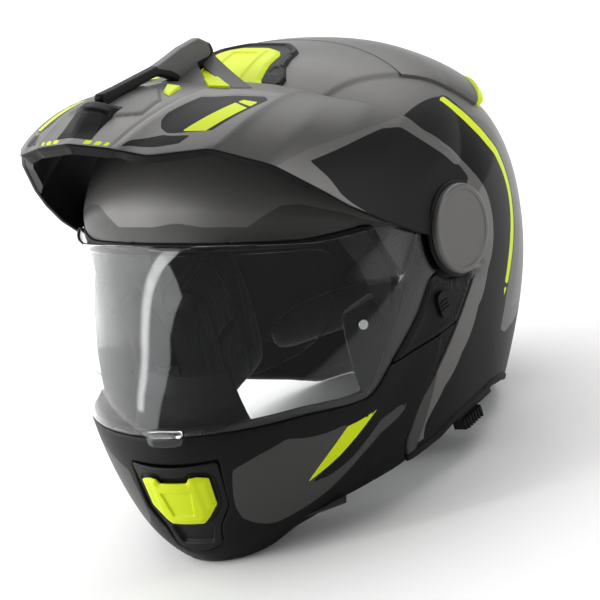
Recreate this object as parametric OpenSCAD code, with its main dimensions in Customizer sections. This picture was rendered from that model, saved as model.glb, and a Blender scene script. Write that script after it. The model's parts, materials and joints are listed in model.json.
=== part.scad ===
// Modular motorcycle helmet with a flip-up chin bar, a face shield and an adventure peak.
// It stands on its rim, faces -Y and has the wearer's left side at +X. All sizes are millimetres.

/* [Shell] */
// Width of the shell across the sides
shell_w = 248; // [236:1:262]
// Height of the side pivots above the table
pivot_h = 143; // [140:0.5:146]
// Distance from the pivots to the brow
brow_r = 116; // [112:0.5:120]
// Distance from the pivots to the crown
crown_r = 110; // [107:0.5:114]
// Distance from the pivots to the back of the head
back_r = 149; // [143:0.5:156]
// Distance from the pivots to the nape
nape_r = 170; // [165:0.5:174]
// Wall of the outer shell
shell_t = 4; // [3:0.25:5]
// Step of the shell down to the zone that the moving parts sweep
sweep_step = 6; // [5.8:0.1:6.2]

/* [Chin bar] */
// Distance from the pivots to the bottom of the chin
chin_r = 216; // [210:0.5:222]
// Wall of the chin bar
chin_t = 4; // [3:0.25:4.25]
// Radius of the chin bar's end round each pivot
arm_r = 28; // [26:0.5:29]
// Wall of the chin bar's arm under the face shield
arm_t = 1.8; // [1.4:0.1:1.8]

/* [Face shield] */
// Distance from the pivots to the lower edge of the face shield
shield_foot_r = 180; // [174:0.5:186]
// Distance from the pivots to the middle of the face shield
shield_mid_r = 147; // [144:0.5:150]
// Thickness of the face shield
shield_t = 2; // [1.6:0.1:2.2]
// Thickness of the anti-fog insert
insert_t = 0.8; // [0.6:0.1:1]

/* [Peak] */
// Reach of the peak in front of the pivots
peak_reach = 181; // [165:1:190]
// Wall of the peak
peak_t = 2.6; // [2:0.1:3]
// Half width of the peak's front edge
peak_front_w = 47; // [40:1:54]
// Thickness of the fin along the middle of the peak
fin_t = 6; // [4:0.5:8]

/* [Pivots] */
// Radius of the pivot pins
pin_r = 5; // [4:0.25:6]
// Running clearance between a pin and its bore
pin_gap = 0.05; // [0.03:0.01:0.08]
// Radius of the pivot covers
cover_r = 27.5; // [25:0.5:29]
// Thickness of the pivot covers
cover_t = 4; // [3:0.25:5]

/* [Vents] */
// Half width of the chin vent
vent_w = 32; // [29:0.5:34]
// Travel of the chin vent's slider
vent_travel = 7; // [4:0.5:8]
// Travel of the crown vent's slider
crown_travel = 8; // [4:0.5:10]
// Height of the ridge at the back of the shell
ridge_h = 6; // [4:0.5:7]

/* [Lining] */
// Thickness of the crown pad
crown_pad_t = 9; // [7:0.5:10]
// Thickness of the cheek pads
cheek_t = 24; // [20:0.5:26]
// Half width of the hollow in the foam liner
hollow_w = 88; // [84:0.5:90]
// Width of the chin strap
strap_w = 22; // [20:0.5:24]
// Thickness of the chin strap
strap_t = 2; // [1.6:0.1:2.4]

/* [Hidden] */

// Everything is drawn round the pivot axis and then lifted onto the table.
pivot_y = 14.7;
half_w = shell_w / 2;
soft_gap = 0.3;

// The skins are superellipses in each plane through the pivot axis, squarer at the back than at the chin.
skin_powers = [[-100, 2.35], [-75, 2.3], [-60, 2.15], [-42, 1.78], [-30, 1.9], [-17, 2.02],
    [0, 1.97], [23, 2.2], [35, 2.35], [260, 2.35]];

// Distance from the pivots to the outer skin, against the angle up from straight ahead
skin_radii = [
    [-100, 0.6 * nape_r + 0.4 * chin_r],
    [-75, 0.98 * chin_r - 6],
    [-60, chin_r - 4],
    [-42, chin_r],
    [-37, chin_r - 2],
    [-17, shield_foot_r],
    [0, shield_mid_r],
    [23, brow_r + 6],
    [34, brow_r],
    [60, crown_r + 2],
    [90, crown_r],
    [118, crown_r + 1],
    [148, (crown_r + back_r) / 2 - 3.5],
    [178, back_r],
    [208, (back_r + nape_r) / 2],
    [238, nape_r],
    [260, 0.6 * nape_r + 0.4 * chin_r]
];
// The shell keeps to its own radii, lower by the step where the chin bar and face shield lie over it
shell_radii = [for (p = skin_radii) p[0] < 30 ? [p[0], p[1] - sweep_step] : p];
// Half width of the shell, narrower where the arms sweep
shell_widths = [
    [-100, half_w - sweep_step],
    [148, half_w - sweep_step],
    [172, half_w],
    [236, half_w],
    [248, half_w - sweep_step]
];
even_widths = [[-100, half_w], [260, half_w]];

// Value of a table at x, smooth through its points
function span(tab, x, i = 0) = i >= len(tab) - 2 || x <= tab[i + 1][0] ? i : span(tab, x, i + 1);
function rise(tab, i) =
    let (a = max(i - 1, 0), b = min(i + 1, len(tab) - 1))
    (tab[b][1] - tab[a][1]) / (tab[b][0] - tab[a][0]);
function smooth(tab, x) =
    let (i = span(tab, x), h = tab[i + 1][0] - tab[i][0])
    let (u = min(max((x - tab[i][0]) / h, 0), 1))
    (2 * pow(u, 3) - 3 * u * u + 1) * tab[i][1] + (pow(u, 3) - 2 * u * u + u) * h * rise(tab, i)
    + (3 * u * u - 2 * pow(u, 3)) * tab[i + 1][1] + (pow(u, 3) - u * u) * h * rise(tab, i + 1);
function straight(tab, x) =
    let (i = span(tab, x), h = tab[i + 1][0] - tab[i][0])
    let (u = min(max((x - tab[i][0]) / h, 0), 1))
    tab[i][1] * (1 - u) + tab[i + 1][1] * u;

// Round the pivots every skin runs into the same round dome, so that the moving ones turn in each other
dome_r = 160;
dome_in = 24;
dome_out = 44;
function dome(rho) = pow(1 - pow(rho / dome_r, 2.35), 1 / 2.35);
function blend(u) = let (v = min(max(u, 0), 1)) v * v * (3 - 2 * v);
// Point of a skin of half width a and radius r, at angle phi round the pivots and t off the middle
function skin(a, r, phi, t) =
    let (k = 2 / straight(skin_powers, phi), s = pow(abs(sin(t)), k), rho = r * pow(abs(cos(t)), k))
    let (w = blend((rho - dome_in) / (dome_out - dome_in)), x = w == 1 ? s : w * s + (1 - w) * dome(rho))
    [a * sign(t) * x, -rho * cos(phi), rho * sin(phi)];
// Point of the outer skin, moved out by d
function outer_at(d, phi, t) = skin(half_w + d, smooth(skin_radii, phi) + d, phi, t);
function shell_at(d, phi, t) =
    skin(straight(shell_widths, phi) + d, smooth(shell_radii, phi) + d, phi, t);

// A closed slab between two grids of points of the same size
module slab(top, low) {
    nu = len(top);
    nv = len(top[0]);
    n = nu * nv;
    points = concat([for (row = top) each row], [for (row = low) each row]);
    faces = concat(
        [for (i = [0:nu - 2], j = [0:nv - 2]) let (p = i * nv + j) each
            [[p, p + nv, p + nv + 1], [p, p + nv + 1, p + 1]]],
        [for (i = [0:nu - 2], j = [0:nv - 2]) let (p = n + i * nv + j) each
            [[p, p + nv + 1, p + nv], [p, p + 1, p + nv + 1]]],
        [for (i = [0:nu - 2], e = [0, 1]) let (p = i * nv + e * (nv - 1), q = p + nv) each
            e == 0 ? [[p, p + n, q + n], [p, q + n, q]] : [[p, q + n, p + n], [p, q, q + n]]],
        [for (j = [0:nv - 2], e = [0, 1]) let (p = e * (nu - 1) * nv + j, q = p + 1) each
            e == 0 ? [[p, q + n, p + n], [p, q, q + n]] : [[p, p + n, q + n], [p, q + n, q]]]
    );
    polyhedron(points, faces, convexity = 8);
}

// A closed body round the pivot axis, from a table of half widths and one of radii
module egg(widths, radii, d, turns = 40, steps = 22) {
    rows = [for (i = [0:turns - 1]) let (phi = -100 + 360 * i / turns)
        [for (j = [1:steps - 1])
            skin(straight(widths, phi) + d, smooth(radii, phi) + d, phi, -90 + 180 * j / steps)]];
    m = steps - 1;
    n = turns * m;
    end_w = straight(widths, 0) + d;
    points = concat([for (row = rows) each row], [[-end_w, 0, 0], [end_w, 0, 0]]);
    faces = concat(
        [for (i = [0:turns - 1], j = [0:m - 2]) let (p = i * m + j, q = (i + 1) % turns * m + j) each
            [[p, q + 1, p + 1], [p, q, q + 1]]],
        [for (i = [0:turns - 1]) [(i + 1) % turns * m, i * m, n]],
        [for (i = [0:turns - 1]) [i * m + m - 1, (i + 1) % turns * m + m - 1, n + 1]]
    );
    polyhedron(points, faces, convexity = 8);
}
module outer_egg(d, turns = 40, steps = 22) egg(even_widths, skin_radii, d, turns, steps);
module shell_egg(d, turns = 40, steps = 22) egg(shell_widths, shell_radii, d, turns, steps);

// A side view outline, given as Y and Z, carried right across the helmet
module across(half = 150) rotate([90, 0, 90]) linear_extrude(2 * half, center = true) children();
// One mesh of a faceted skin, at its own size
module whole() resize([0, 0, 0]) children();
module lifted() translate([0, pivot_y, pivot_h]) children();
module both_sides() {
    children();
    mirror([1, 0, 0]) children();
}

// Levels of the layers at the pivots, from the shell outwards
floor_x = half_w - sweep_step;
arm_in = floor_x + 1.4;
arm_out = arm_in + arm_t;
shield_in = arm_out + 0.5;
shield_out = shield_in + shield_t;
peak_in = shield_out + 1.2;
peak_out = peak_in + peak_t;
cover_in = peak_out + soft_gap;
sun_r = crown_r - shell_t - 0.8;
sun_t = 1.8;
sun_x = floor_x - shell_t - 3.5;

// Side view lines, as Y and Z from the pivots. The seam parts the shell from the chin bar.
table_z = -pivot_h;
seam = [[10, -36], [-16, -54], [-44, -75], [-61, -88], [-73, -107], [-73, -122]];
rim_z = -121.5;
// The rim from the chin to the nape
rim = [[-185, table_z], [-152, table_z], [-140, -131], [-116, -125], [-73, rim_z], [-47, rim_z + 2],
    [-31, rim_z + 6], [14, rim_z + 6], [35, -122], [60, -136], [70, table_z], [185, table_z]];
brow = [[-135, 49], [-112, 48], [-98, 42.5], [-85, 37], [-52, 31]];
shield_top = [[-190, 47.5], [-112, 47.5], [-98, 41], [-85, 35.5], [-52, 28.5]];
shield_foot = [[-96, -65.5], [-110, -63.3], [-134, -57], [-172, -52.5], [-190, -52.5]];
shield_back = [[-33, -17], [-49, -33], [-76, -51.5], [-88, -62]];
trim_h = 4;
hub_r = 12;
shield_hub_r = 15;
shield_arm_r = 20;
pocket_r = arm_r + 3.5;

// Side view regions
module chin_region() {
    polygon(concat([for (i = [len(shield_foot) - 1:-1:0]) shield_foot[i]],
        [[-90, -60], [-64, -26], [-29, 15], [0, 20]], seam,
        [for (i = [4:-1:0]) rim[i]]));
    circle(arm_r, $fn = 40);
}
// Everything in front of the shell: the eye port and the chin bar's place
module front_region() polygon(concat(
    [[-260, 60]], brow, [[-50, 10], [-46, -12], [-44, -35], [-40, -52], [-44, -75]],
    [for (i = [3:5]) seam[i]], [[-73, -260], [-260, -260]]));
module behind_seam() polygon(concat(seam, [[-73, -240], [240, -240], [240, -36]]));
module below_rim(up) polygon(concat(
    [for (p = rim) [p[0], p[1] + up]], [[185, -260], [-185, -260]]));
module shield_region() {
    polygon(concat(shield_top, [[-20, 14], [0, 16], [12, 0], [0, -14], [-14, -14]], shield_back,
        shield_foot));
    circle(shield_arm_r, $fn = 40);
}
module side_plate_outline() polygon([[-77, -53.5], [-49, -34], [-33, -18.5], [-14, -16], [0, 0], [18, -28],
    [20, -54], [-40, -54]]);
module side_plate_region() intersection() {
    difference() {
        side_plate_outline();
        rotate(3) circle(peak_hub_disc + 0.9, $fn = 36);
    }
    offset(delta = -1.2) chin_region();
}
peak_hub_disc = 29.5;

// A washer round the pivot axis, from x0 to x1 on the left side
module ring_x(r, bore, x0, x1) translate([x0, 0, 0]) rotate([0, 90, 0]) difference() {
    cylinder(r = r, h = x1 - x0, $fn = 64);
    translate([0, 0, -1]) cylinder(r = bore, h = x1 - x0 + 2, $fn = 64);
}
module rod_x(r, x0, x1) translate([x0, 0, 0]) rotate([0, 90, 0]) cylinder(r = r, h = x1 - x0, $fn = 64);

// Shell and what is fixed to it
module outer_shell() color("#64625f") lifted() whole() difference() {
    union() {
        shell_egg(0, 36, 18);
        intersection() {
            outer_egg(0, 36, 18);
            across() behind_seam();
        }
    }
    shell_egg(-shell_t, 28, 14);
    intersection() {
        outer_egg(-shell_t, 28, 14);
        across() offset(delta = -shell_t) behind_seam();
    }
    across() front_region();
    across() below_rim(trim_h);
    both_sides() translate([floor_x - 0.5, 0, 0]) rotate([0, 90, 0]) cylinder(r = pocket_r, h = 30, $fn = 40);
}
module rim_trim() color("#141414") lifted() whole() difference() {
    intersection() {
        union() {
            shell_egg(1, 36, 18);
            intersection() {
                outer_egg(1, 36, 18);
                across() behind_seam();
            }
        }
        across() difference() {
            below_rim(trim_h);
            below_rim(0);
        }
        across() translate([-72.5, -200]) square([300, 400]);
    }
    outer_egg(-shell_t - 1.5, 36, 18);
}
module eye_port_gasket() color("#121212") lifted() whole() difference() {
    intersection() {
        shell_egg(0.8, 36, 18);
        across() intersection() {
            difference() {
                front_region();
                offset(delta = -4) front_region();
            }
            translate([-122, -40]) square([90, 100]);
        }
    }
    shell_egg(-shell_t - 1, 36, 18);
}

// Foam liner, hollow for the head, with a gap in front for the sun visor
liner_w = sun_x - 5.5;
back_gap = shell_t + 0.6;
liner_widths = [[-100, liner_w], [98, liner_w], [124, floor_x - back_gap], [148, floor_x - back_gap],
    [172, half_w - back_gap], [236, half_w - back_gap], [248, floor_x - back_gap], [260, liner_w]];
liner_radii = [for (p = skin_radii)
    p[0] < 95 ? [p[0], min(p[1] - shell_t, crown_r) - 8] : [p[0], p[1] - back_gap]];
hollow_front = 90;
nape_room = 56;
hollow_l = (nape_r - nape_room + hollow_front) / 2;
hollow_h = 96;
hollow_at = [0, hollow_l - hollow_front, -14];
hollow_depth = 150;
module hollow(grow) translate(hollow_at) {
    scale([hollow_w + grow, hollow_l + grow, hollow_h + grow]) sphere(1, $fn = 36);
    translate([0, 0, -hollow_depth]) scale([hollow_w + grow, hollow_l + grow, 1])
        cylinder(r = 1, h = hollow_depth, $fn = 36);
}
module foam_liner() color("#1b1b1d") lifted() whole() difference() {
    egg(liner_widths, liner_radii, 0, 28, 14);
    hollow(0.5);
    both_sides() rod_x(19, sun_x - 6, half_w);
    across() offset(delta = 8) front_region();
    across() below_rim(26);
    across() translate([-200, -260]) square([210, 178]);
}

// A sewn cushion on a patch of the head's hollow: it swells in the middle and is drawn in at its edges
function hollow_point(d, az, el) = [
    hollow_at[0] + (hollow_w + d) * sin(az) * cos(el),
    hollow_at[1] - (hollow_l + d) * cos(az) * cos(el),
    hollow_at[2] + (hollow_h + d) * sin(el)];
crown_rows = 10;
crown_cols = 24;
module crown_pad() {
    // Puff of the pad across its rows and columns, with a sewn channel every quarter
    function puff(u, v) = pow(1 - pow(abs(2 * u - 1), 6), 0.5) * pow(1 - pow(abs(2 * v - 1), 6), 0.5)
        * (0.72 + 0.28 * abs(sin(720 * v)));
    function at(d, u, v) = hollow_point(d, 18 + 324 * v, 24 + 62 * u);
    color("#202022") lifted()
        slab([for (i = [0:crown_rows])
                [for (j = [0:crown_cols]) at(-soft_gap, i / crown_rows, j / crown_cols)]],
            [for (i = [0:crown_rows]) [for (j = [0:crown_cols])
                let (u = i / crown_rows, v = j / crown_cols)
                at(-soft_gap - 1.5 - (crown_pad_t - 1.5) * puff(u, v), u, v)]]);
}

// Cheek pads and neck roll lie on the upright wall of the hollow. az is measured round it from the front.
function wall_point(d, az, z) = [(hollow_w - d) * sin(az), hollow_at[1] - (hollow_l - d) * cos(az), z];
cheek_low = -114;
cheek_high = -28;
cheek_from = 47;
cheek_to = 108;
module cheek_pad() {
    function puff(u, v) = pow(max(1 - pow(abs(u), 5), 0), 0.45) * pow(max(1 - pow(abs(v), 5), 0), 0.45);
    function drawn(u) = 1 - 0.06 * u * u;
    function at(d, u, v) = wall_point(d, (cheek_from + cheek_to) / 2 + u * drawn(v) * (cheek_to - cheek_from) / 2,
        (cheek_low + cheek_high) / 2 + v * drawn(u) * (cheek_high - cheek_low) / 2);
    nu = 15;
    nv = 10;
    slab([for (i = [nu:-1:0]) [for (j = [0:nv]) at(soft_gap, 2 * i / nu - 1, 2 * j / nv - 1)]],
        [for (i = [nu:-1:0]) [for (j = [0:nv]) let (u = 2 * i / nu - 1, v = 2 * j / nv - 1)
            at(2 + (cheek_t - 2) * puff(u, v) * (1 - 0.12 * pow(cos(270 * u), 8)), u, v)]]);
}
module cheek_pad_left() color("#1c1c1e") lifted() cheek_pad();
module cheek_pad_right() color("#1c1c1e") lifted() mirror([1, 0, 0]) cheek_pad();

// Padded roll inside the nape, an oval swept round the back of the neck opening
roll_z = -102;
roll_t = 16;
roll_h = 26;
module neck_roll() {
    half = 66;
    function swell(a) = 0.35 + 0.65 * pow(max(1 - pow(abs(a) / half, 6), 0), 0.5);
    function at(a, b) = wall_point(soft_gap + roll_t / 2 * (1 - swell(a) * cos(b)), 180 + a,
        roll_z + roll_h / 2 * swell(a) * sin(b));
    turns = 10;
    rows = 22;
    pts = [for (i = [0:rows]) each [for (j = [0:turns - 1]) at(half * (2 * i / rows - 1), 360 * j / turns)]];
    ends = [[for (j = [turns - 1:-1:0]) j], [for (j = [0:turns - 1]) rows * turns + j]];
    sides = [for (i = [0:rows - 1], j = [0:turns - 1])
        let (p = i * turns + j, q = i * turns + (j + 1) % turns) each
        [[p, q, q + turns], [p, q + turns, p + turns]]];
    color("#19191b") lifted() polyhedron(pts, concat(ends, sides), convexity = 6);
}

// Raised ridge over the back of the shell, with the exhaust vent along its step
ridge_from = 124;
ridge_to = 162;
ridge_t0 = 38;
module rear_ridge() {
    function lift(u, v) = 0.8 + (ridge_h - 0.8) * pow(u, 1.3) * pow(max(1 - pow(abs(v), 5), 0), 0.6);
    function at(d, u, v) = shell_at(d, ridge_from + (ridge_to - ridge_from) * u, v * (ridge_t0 + 6 * u));
    color("#64625f") lifted()
        slab([for (i = [0:8]) [for (j = [0:16]) let (u = i / 8, v = j / 8 - 1) at(lift(u, v), u, v)]],
            [for (i = [0:8]) [for (j = [0:16]) at(soft_gap, i / 8, j / 8 - 1)]]);
}
module rear_vent() {
    function at(d, u, v) = shell_at(d, ridge_to + 0.15 + 3.4 * u, v * 36);
    color("#e2ff1e") lifted()
        slab([for (i = [0:1]) [for (j = [0:12])
                at((ridge_h - 0.6) * pow(max(1 - pow(abs(j / 6 - 1), 6), 0), 0.5) + 0.6, i, j / 6 - 1)]],
            [for (i = [0:1]) [for (j = [0:12]) at(soft_gap, i, j / 6 - 1)]]);
}

// Crown vent: a base let down onto the shell and a cover that slides back on its flat top
vent_phi = 98;
vent_top = crown_r + 2.2;
module on_crown(z) rotate([90 - vent_phi, 0, 0]) translate([0, 0, z]) children();
module vent_plan(grow) offset(delta = grow)
    polygon([[-33, 8], [-23, 26], [20, 26], [31, 8], [24, -20], [10, -35], [-10, -35], [-24, -20]]);
module crown_vent_base() color("#1a1a1a") lifted() whole() difference() {
    hull() {
        on_crown(vent_top - 1) linear_extrude(1) vent_plan(1.5);
        on_crown(crown_r - 16) linear_extrude(1) vent_plan(12);
    }
    shell_egg(0.15, 36, 18);
}
module crown_vent_cover() color("#e2ff1e") lifted() on_crown(vent_top + 0.25) hull() {
    linear_extrude(0.8) vent_plan(0);
    translate([0, 0, 3]) linear_extrude(0.8) vent_plan(-9);
}

// Pins, their plates and the covers at the side pivots
module pivot_pins() color("#8d8f92") lifted() both_sides() {
    rod_x(11.5, floor_x - 0.4, arm_in - 0.4);
    rod_x(pin_r, arm_in - 0.4, cover_in);
}
module pivot_cover() rotate([0, 90, 0]) translate([0, 0, cover_in]) rotate_extrude($fn = 96) polygon([
    [0, 0], [cover_r, 0], [cover_r, cover_t - 1.6], [cover_r - 0.5, cover_t - 0.6], [cover_r - 1.6, cover_t],
    [cover_r - 3.6, cover_t], [cover_r - 4.4, cover_t - 0.5], [0, cover_t - 0.5]]);
module pivot_cover_left() color("#6a6865") lifted() pivot_cover();
module pivot_cover_right() color("#6a6865") lifted() mirror([1, 0, 0]) pivot_cover();

// Drop-down sun visor between the shell and the foam liner, shown stowed
module sun_visor() {
    function low(t) = 30 + 10 * pow(abs(t) / 90, 2);
    function high(t) = 82 - 22 * pow(abs(t) / 90, 2);
    function at(d, u, t) = skin(sun_x + d, sun_r + d, low(t) * (1 - u) + high(t) * u, t);
    color([0.1, 0.1, 0.12, 0.8]) lifted() {
        slab([for (i = [0:5]) [for (j = [0:24]) at(0, i / 5, -85 + 170 * j / 24)]],
            [for (i = [0:5]) [for (j = [0:24]) at(-sun_t, i / 5, -85 + 170 * j / 24)]]);
        both_sides() ring_x(16, pin_r + pin_gap, sun_x - 4.4, sun_x - 1.2);
    }
}
module sun_visor_pins() color("#2a2a2a") lifted() both_sides() {
    rod_x(pin_r, sun_x - 5, floor_x - shell_t - 1);
    rod_x(8, sun_x - 0.6, floor_x - shell_t - 1);
}
lever_travel = 16;
lever_from = [101, -25, rim_z + 6];
module sun_visor_lever() color("#161616") lifted() translate(lever_from) {
    translate([-1.5, 0, -9.5]) cube([9, 20, 6.7]);
    for (i = [0:5]) translate([7, 2 + 3 * i, -9.5]) cube([1.6, 1.4, 6.7]);
}
module lever_guide() color("#161616") lifted() translate(lever_from)
    translate([0, -3, -2.5]) cube([5.5, 20 + lever_travel + 3, 2.4]);

// Chin strap: a band from a riveted anchor at each side, joined by a quick-release buckle
strap_y = -26;
anchor_x = 100.3;
anchor_z = -95;
rivet_r = 3;
strap_side = [[anchor_x, -86], [anchor_x - 0.2, -101], [96.5, -108], [89, -114.5], [77, -119]];
buckle_at = [34, strap_y, -128];
buckle_tilt = 12;
buckle_l = 26;
// Side view of a band of thickness t along points given as X and Z
function band(path, t) = let (n = len(path) - 1)
    let (side = [for (i = [0:n])
        let (d = path[min(i + 1, n)] - path[max(i - 1, 0)]) [-d[1], d[0]] * t / 2 / norm(d)])
    concat([for (i = [0:n]) path[i] + side[i]], [for (i = [n:-1:0]) path[i] - side[i]]);
module strap(path) difference() {
    translate([0, strap_y, 0]) rotate([90, 0, 0]) linear_extrude(strap_w, center = true)
        polygon(band(path, strap_t));
    translate([0, strap_y, anchor_z]) rotate([0, 90, 0])
        cylinder(r = rivet_r + 0.1, h = 300, center = true, $fn = 32);
}
// Point of the buckle's middle line, e from its middle
function in_buckle(e) = [buckle_at[0] + e * cos(buckle_tilt), buckle_at[2] + e * sin(buckle_tilt)];
module strap_left() color("#1d1d1f") lifted()
    strap(concat(strap_side, [[62, -122], in_buckle(buckle_l / 2 + 2), in_buckle(4)]));
module strap_right() color("#1d1d1f") lifted()
    strap(concat([for (p = strap_side) [-p[0], p[1]]], [[-60, -124], [-32, -130.5], [0, -134.3],
        in_buckle(-buckle_l / 2 - 2), in_buckle(-4)]));
module strap_anchors() color("#6f7173") lifted() whole() both_sides() {
    intersection() {
        translate([anchor_x + strap_t / 2 + 0.1, strap_y - 9, anchor_z - 6]) cube([20, 18, 15]);
        outer_egg(-shell_t - 0.15, 28, 14);
    }
    translate([anchor_x - strap_t / 2 - 1.8, strap_y, anchor_z]) rotate([0, 90, 0])
        cylinder(r = 6, h = 1.5, $fn = 32);
    translate([anchor_x - strap_t / 2 - 1.2, strap_y, anchor_z]) rotate([0, 90, 0])
        cylinder(r = rivet_r, h = strap_t + 2, $fn = 32);
}
module in_buckle_frame() translate(buckle_at) rotate([0, -buckle_tilt, 0]) children();
lever_pin_r = 1.2;
lever_at = [9, 0, 6.2];
module buckle_body() color("#242424") lifted() in_buckle_frame() {
    difference() {
        translate([-buckle_l / 2, -14, -4]) cube([buckle_l, 28, 8]);
        translate([-buckle_l, -strap_w / 2 - 0.4, -strap_t / 2 - 0.4])
            cube([2 * buckle_l, strap_w + 0.8, strap_t + 0.8]);
    }
    for (s = [-1, 1]) translate([lever_at[0], 12 * s, 0]) {
        translate([-2.5, -1.5, 3.9]) cube([5, 3, 2.3]);
        translate([0, 0, lever_at[2]]) rotate([90, 0, 0]) cylinder(r = 2.5, h = 3, center = true, $fn = 32);
    }
    translate(lever_at) rotate([90, 0, 0]) cylinder(r = lever_pin_r, h = 24, center = true, $fn = 32);
}
module buckle_lever() color("#9c1f1c") lifted() in_buckle_frame() translate(lever_at) difference() {
    union() {
        rotate([90, 0, 0]) cylinder(r = 2.1, h = 20, center = true, $fn = 32);
        translate([-20, -9, 0.1]) cube([20, 18, 2]);
        translate([-20.6, -9, 0.1]) cube([2, 18, 3.2]);
    }
    rotate([90, 0, 0]) cylinder(r = lever_pin_r + pin_gap, h = 30, center = true, $fn = 32);
}

// Latch: hooks on the chin bar catch steel strikers on the shell, and the release button turns them
latch_at = [-88, -105];
latch_pin_r = 2.2;
striker_at = [-64, -100];
striker_r = 2.5;
latch_x = 80;
module side_rod(at, r, x0, d, on_chin) intersection() {
    translate([x0, at[0], at[1]]) rotate([0, 90, 0]) cylinder(r = r, h = 40, $fn = 20);
    if (on_chin) outer_egg(d, 28, 14);
    else shell_egg(d, 28, 14);
}
module latch_strikers() color("#b4b6b8") lifted() whole() both_sides() {
    side_rod(striker_at, striker_r, latch_x - 1, -shell_t - 0.15, false);
    side_rod(striker_at, 6, latch_x + 6, -shell_t - 0.15, false);
}
module latch_pins() color("#b4b6b8") lifted() both_sides() {
    translate([0, latch_at[0], latch_at[1]]) rod_x(latch_pin_r, latch_x - 0.5, latch_x + 5);
    whole() side_rod(latch_at, 6, latch_x + 3.6, -chin_t - 0.15, true);
}
module latch_hooks() color("#8d8f92") lifted() both_sides() translate([latch_x, latch_at[0], latch_at[1]])
    rotate([90, 0, 90]) difference() {
        union() {
            cylinder(r = 5, h = 3, $fn = 32);
            linear_extrude(3) polygon([[0, 5], [20, 12], [29, 11], [32, 6], [31, 0.5], [27.5, 0.5], [28, 4],
                [26, 8.2], [22, 8.4], [20, 4], [4, -4]]);
        }
        translate([0, 0, -1]) cylinder(r = latch_pin_r + pin_gap, h = 5, $fn = 32);
    }
release_travel = 5;
release_at = [0, -148, -141.5];
module release_housing() color("#141414") lifted() whole() difference() {
    intersection() {
        translate(release_at + [-18, -30, 0]) cube([36, 35, 9.5]);
        outer_egg(-chin_t - 0.15, 28, 14);
    }
    translate(release_at + [-12.4, -4, 1.2]) cube([24.8, 20, 7]);
}
module release_button() color("#7d1a18") lifted() translate(release_at) {
    translate([-12, -2.2, 1.6]) cube([24, 8.2, 6.2]);
    for (i = [0:1]) translate([-9, 6, 2.6 + 2.8 * i]) cube([18, 1, 1.4]);
}

// Chin bar and what rides on it
// Where the face shield, the peak's hubs and the side plates lie over the chin bar, it is thinned to its arms
module covered_region() {
    offset(delta = 0.4) shield_region();
    offset(delta = 0.4) side_plate_outline();
    rotate(3) circle(peak_hub_disc + 1.5, $fn = 36);
}
module chin_bar() color("#232323") lifted() whole() difference() {
    intersection() {
        outer_egg(0, 36, 18);
        across() offset(delta = -soft_gap) chin_region();
    }
    difference() {
        across(200) covered_region();
        outer_egg(arm_out - half_w, 36, 18);
    }
    outer_egg(-chin_t, 28, 14);
    across(200) rotate(3) circle(hub_r + 0.15, $fn = 36);
    facing() translate([0, 0, -30]) linear_extrude(60) offset(delta = 0.25) vent_shape();
}
module chin_hubs() color("#8d8f92") lifted() both_sides() ring_x(hub_r, pin_r + pin_gap, arm_in, arm_out);
module side_plate(k) {
    difference() {
        intersection() {
            outer_egg(0.2, 36, 18);
            across() side_plate_region();
            translate([150 * k - 150, -200, -200]) cube([150, 400, 400]);
        }
        outer_egg(arm_out - half_w + soft_gap, 36, 18);
    }
}
module side_plate_left() color("#161616") lifted() whole() side_plate(1);
module side_plate_right() color("#161616") lifted() whole() side_plate(0);
lock_travel = 5;
lock_phi = -53;
lock_t = 77.5;
module lock_slider() color("#2c2c2c") lifted() on_skin(0.2 + soft_gap, lock_phi, lock_t) {
    linear_extrude(2) hull() for (s = [-1, 1]) translate([4 * s, 0]) circle(4.5, $fn = 32);
    for (s = [-1:1]) translate([2.4 * s - 0.5, -3, 1.8]) cube([1, 6, 1]);
}

// Chin vent, drawn flat as seen from the front and bowed to the chin
bow_r = 70;
bow_out = 5;
face_tilt = 7;
module facing() translate([0, -173, -70]) rotate([90 + face_tilt, 0, 0]) translate([0, 70, 0]) children();
// The part of a flat outline between two bows
module bowed(d0, d1) intersection() {
    translate([0, 0, bow_out - 30]) linear_extrude(40) children();
    translate([0, -95, bow_out - bow_r]) rotate([90, 0, 0]) difference() {
        cylinder(r = bow_r + d1, h = 100, center = true, $fn = 96);
        cylinder(r = bow_r + d0, h = 110, center = true, $fn = 96);
    }
}
module vent_shape() polygon([[-vent_w, -70], [vent_w, -70], [vent_w - 2, -101], [vent_w - 12, -115],
    [vent_w - 15, -127], [8, -131], [-8, -131], [15 - vent_w, -127], [12 - vent_w, -115],
    [2 - vent_w, -101]]);
slider_top = -77;
module slider_shape() polygon([[-25, slider_top - 2], [-18, slider_top], [-12, slider_top], [-10, slider_top - 3],
    [10, slider_top - 3], [12, slider_top], [18, slider_top], [25, slider_top - 2], [24, -98], [17, -106],
    [12, -110], [-12, -110], [-17, -106], [-24, -98]]);
module air_way(grow) polygon([[-13 - grow, -80 + grow], [13 + grow, -80 + grow], [13 + grow, -110 - grow],
    [-13 - grow, -110 - grow]]);
module chin_vent_bezel() color("#1a1a1a") lifted() facing() difference() {
    bowed(-5.5, 0) vent_shape();
    translate([0, 0, -30]) linear_extrude(60) air_way(0);
    for (i = [0:1]) translate([0, -121 - 3.4 * i, bow_out]) cube([24 - 4 * i, 1.8, 8], center = true);
}
module chin_vent_grille() color("#0e0e0e") lifted() facing() difference() {
    bowed(-8.4, -5.8) air_way(3);
    for (i = [-2:2]) translate([4.8 * i, -95, -5]) cube([2.6, 26, 30], center = true);
}
module chin_vent_slider() color("#e2ff1e") lifted() facing() {
    difference() {
        bowed(0.3, 3.4) slider_shape();
        translate([0, -94, bow_out + 2.2]) linear_extrude(3) polygon([[-12, 8], [12, 8], [8, -10], [-8, -10]]);
    }
    bowed(-4.6, 1) translate([-12, -97]) square([24, 14]);
}
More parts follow.
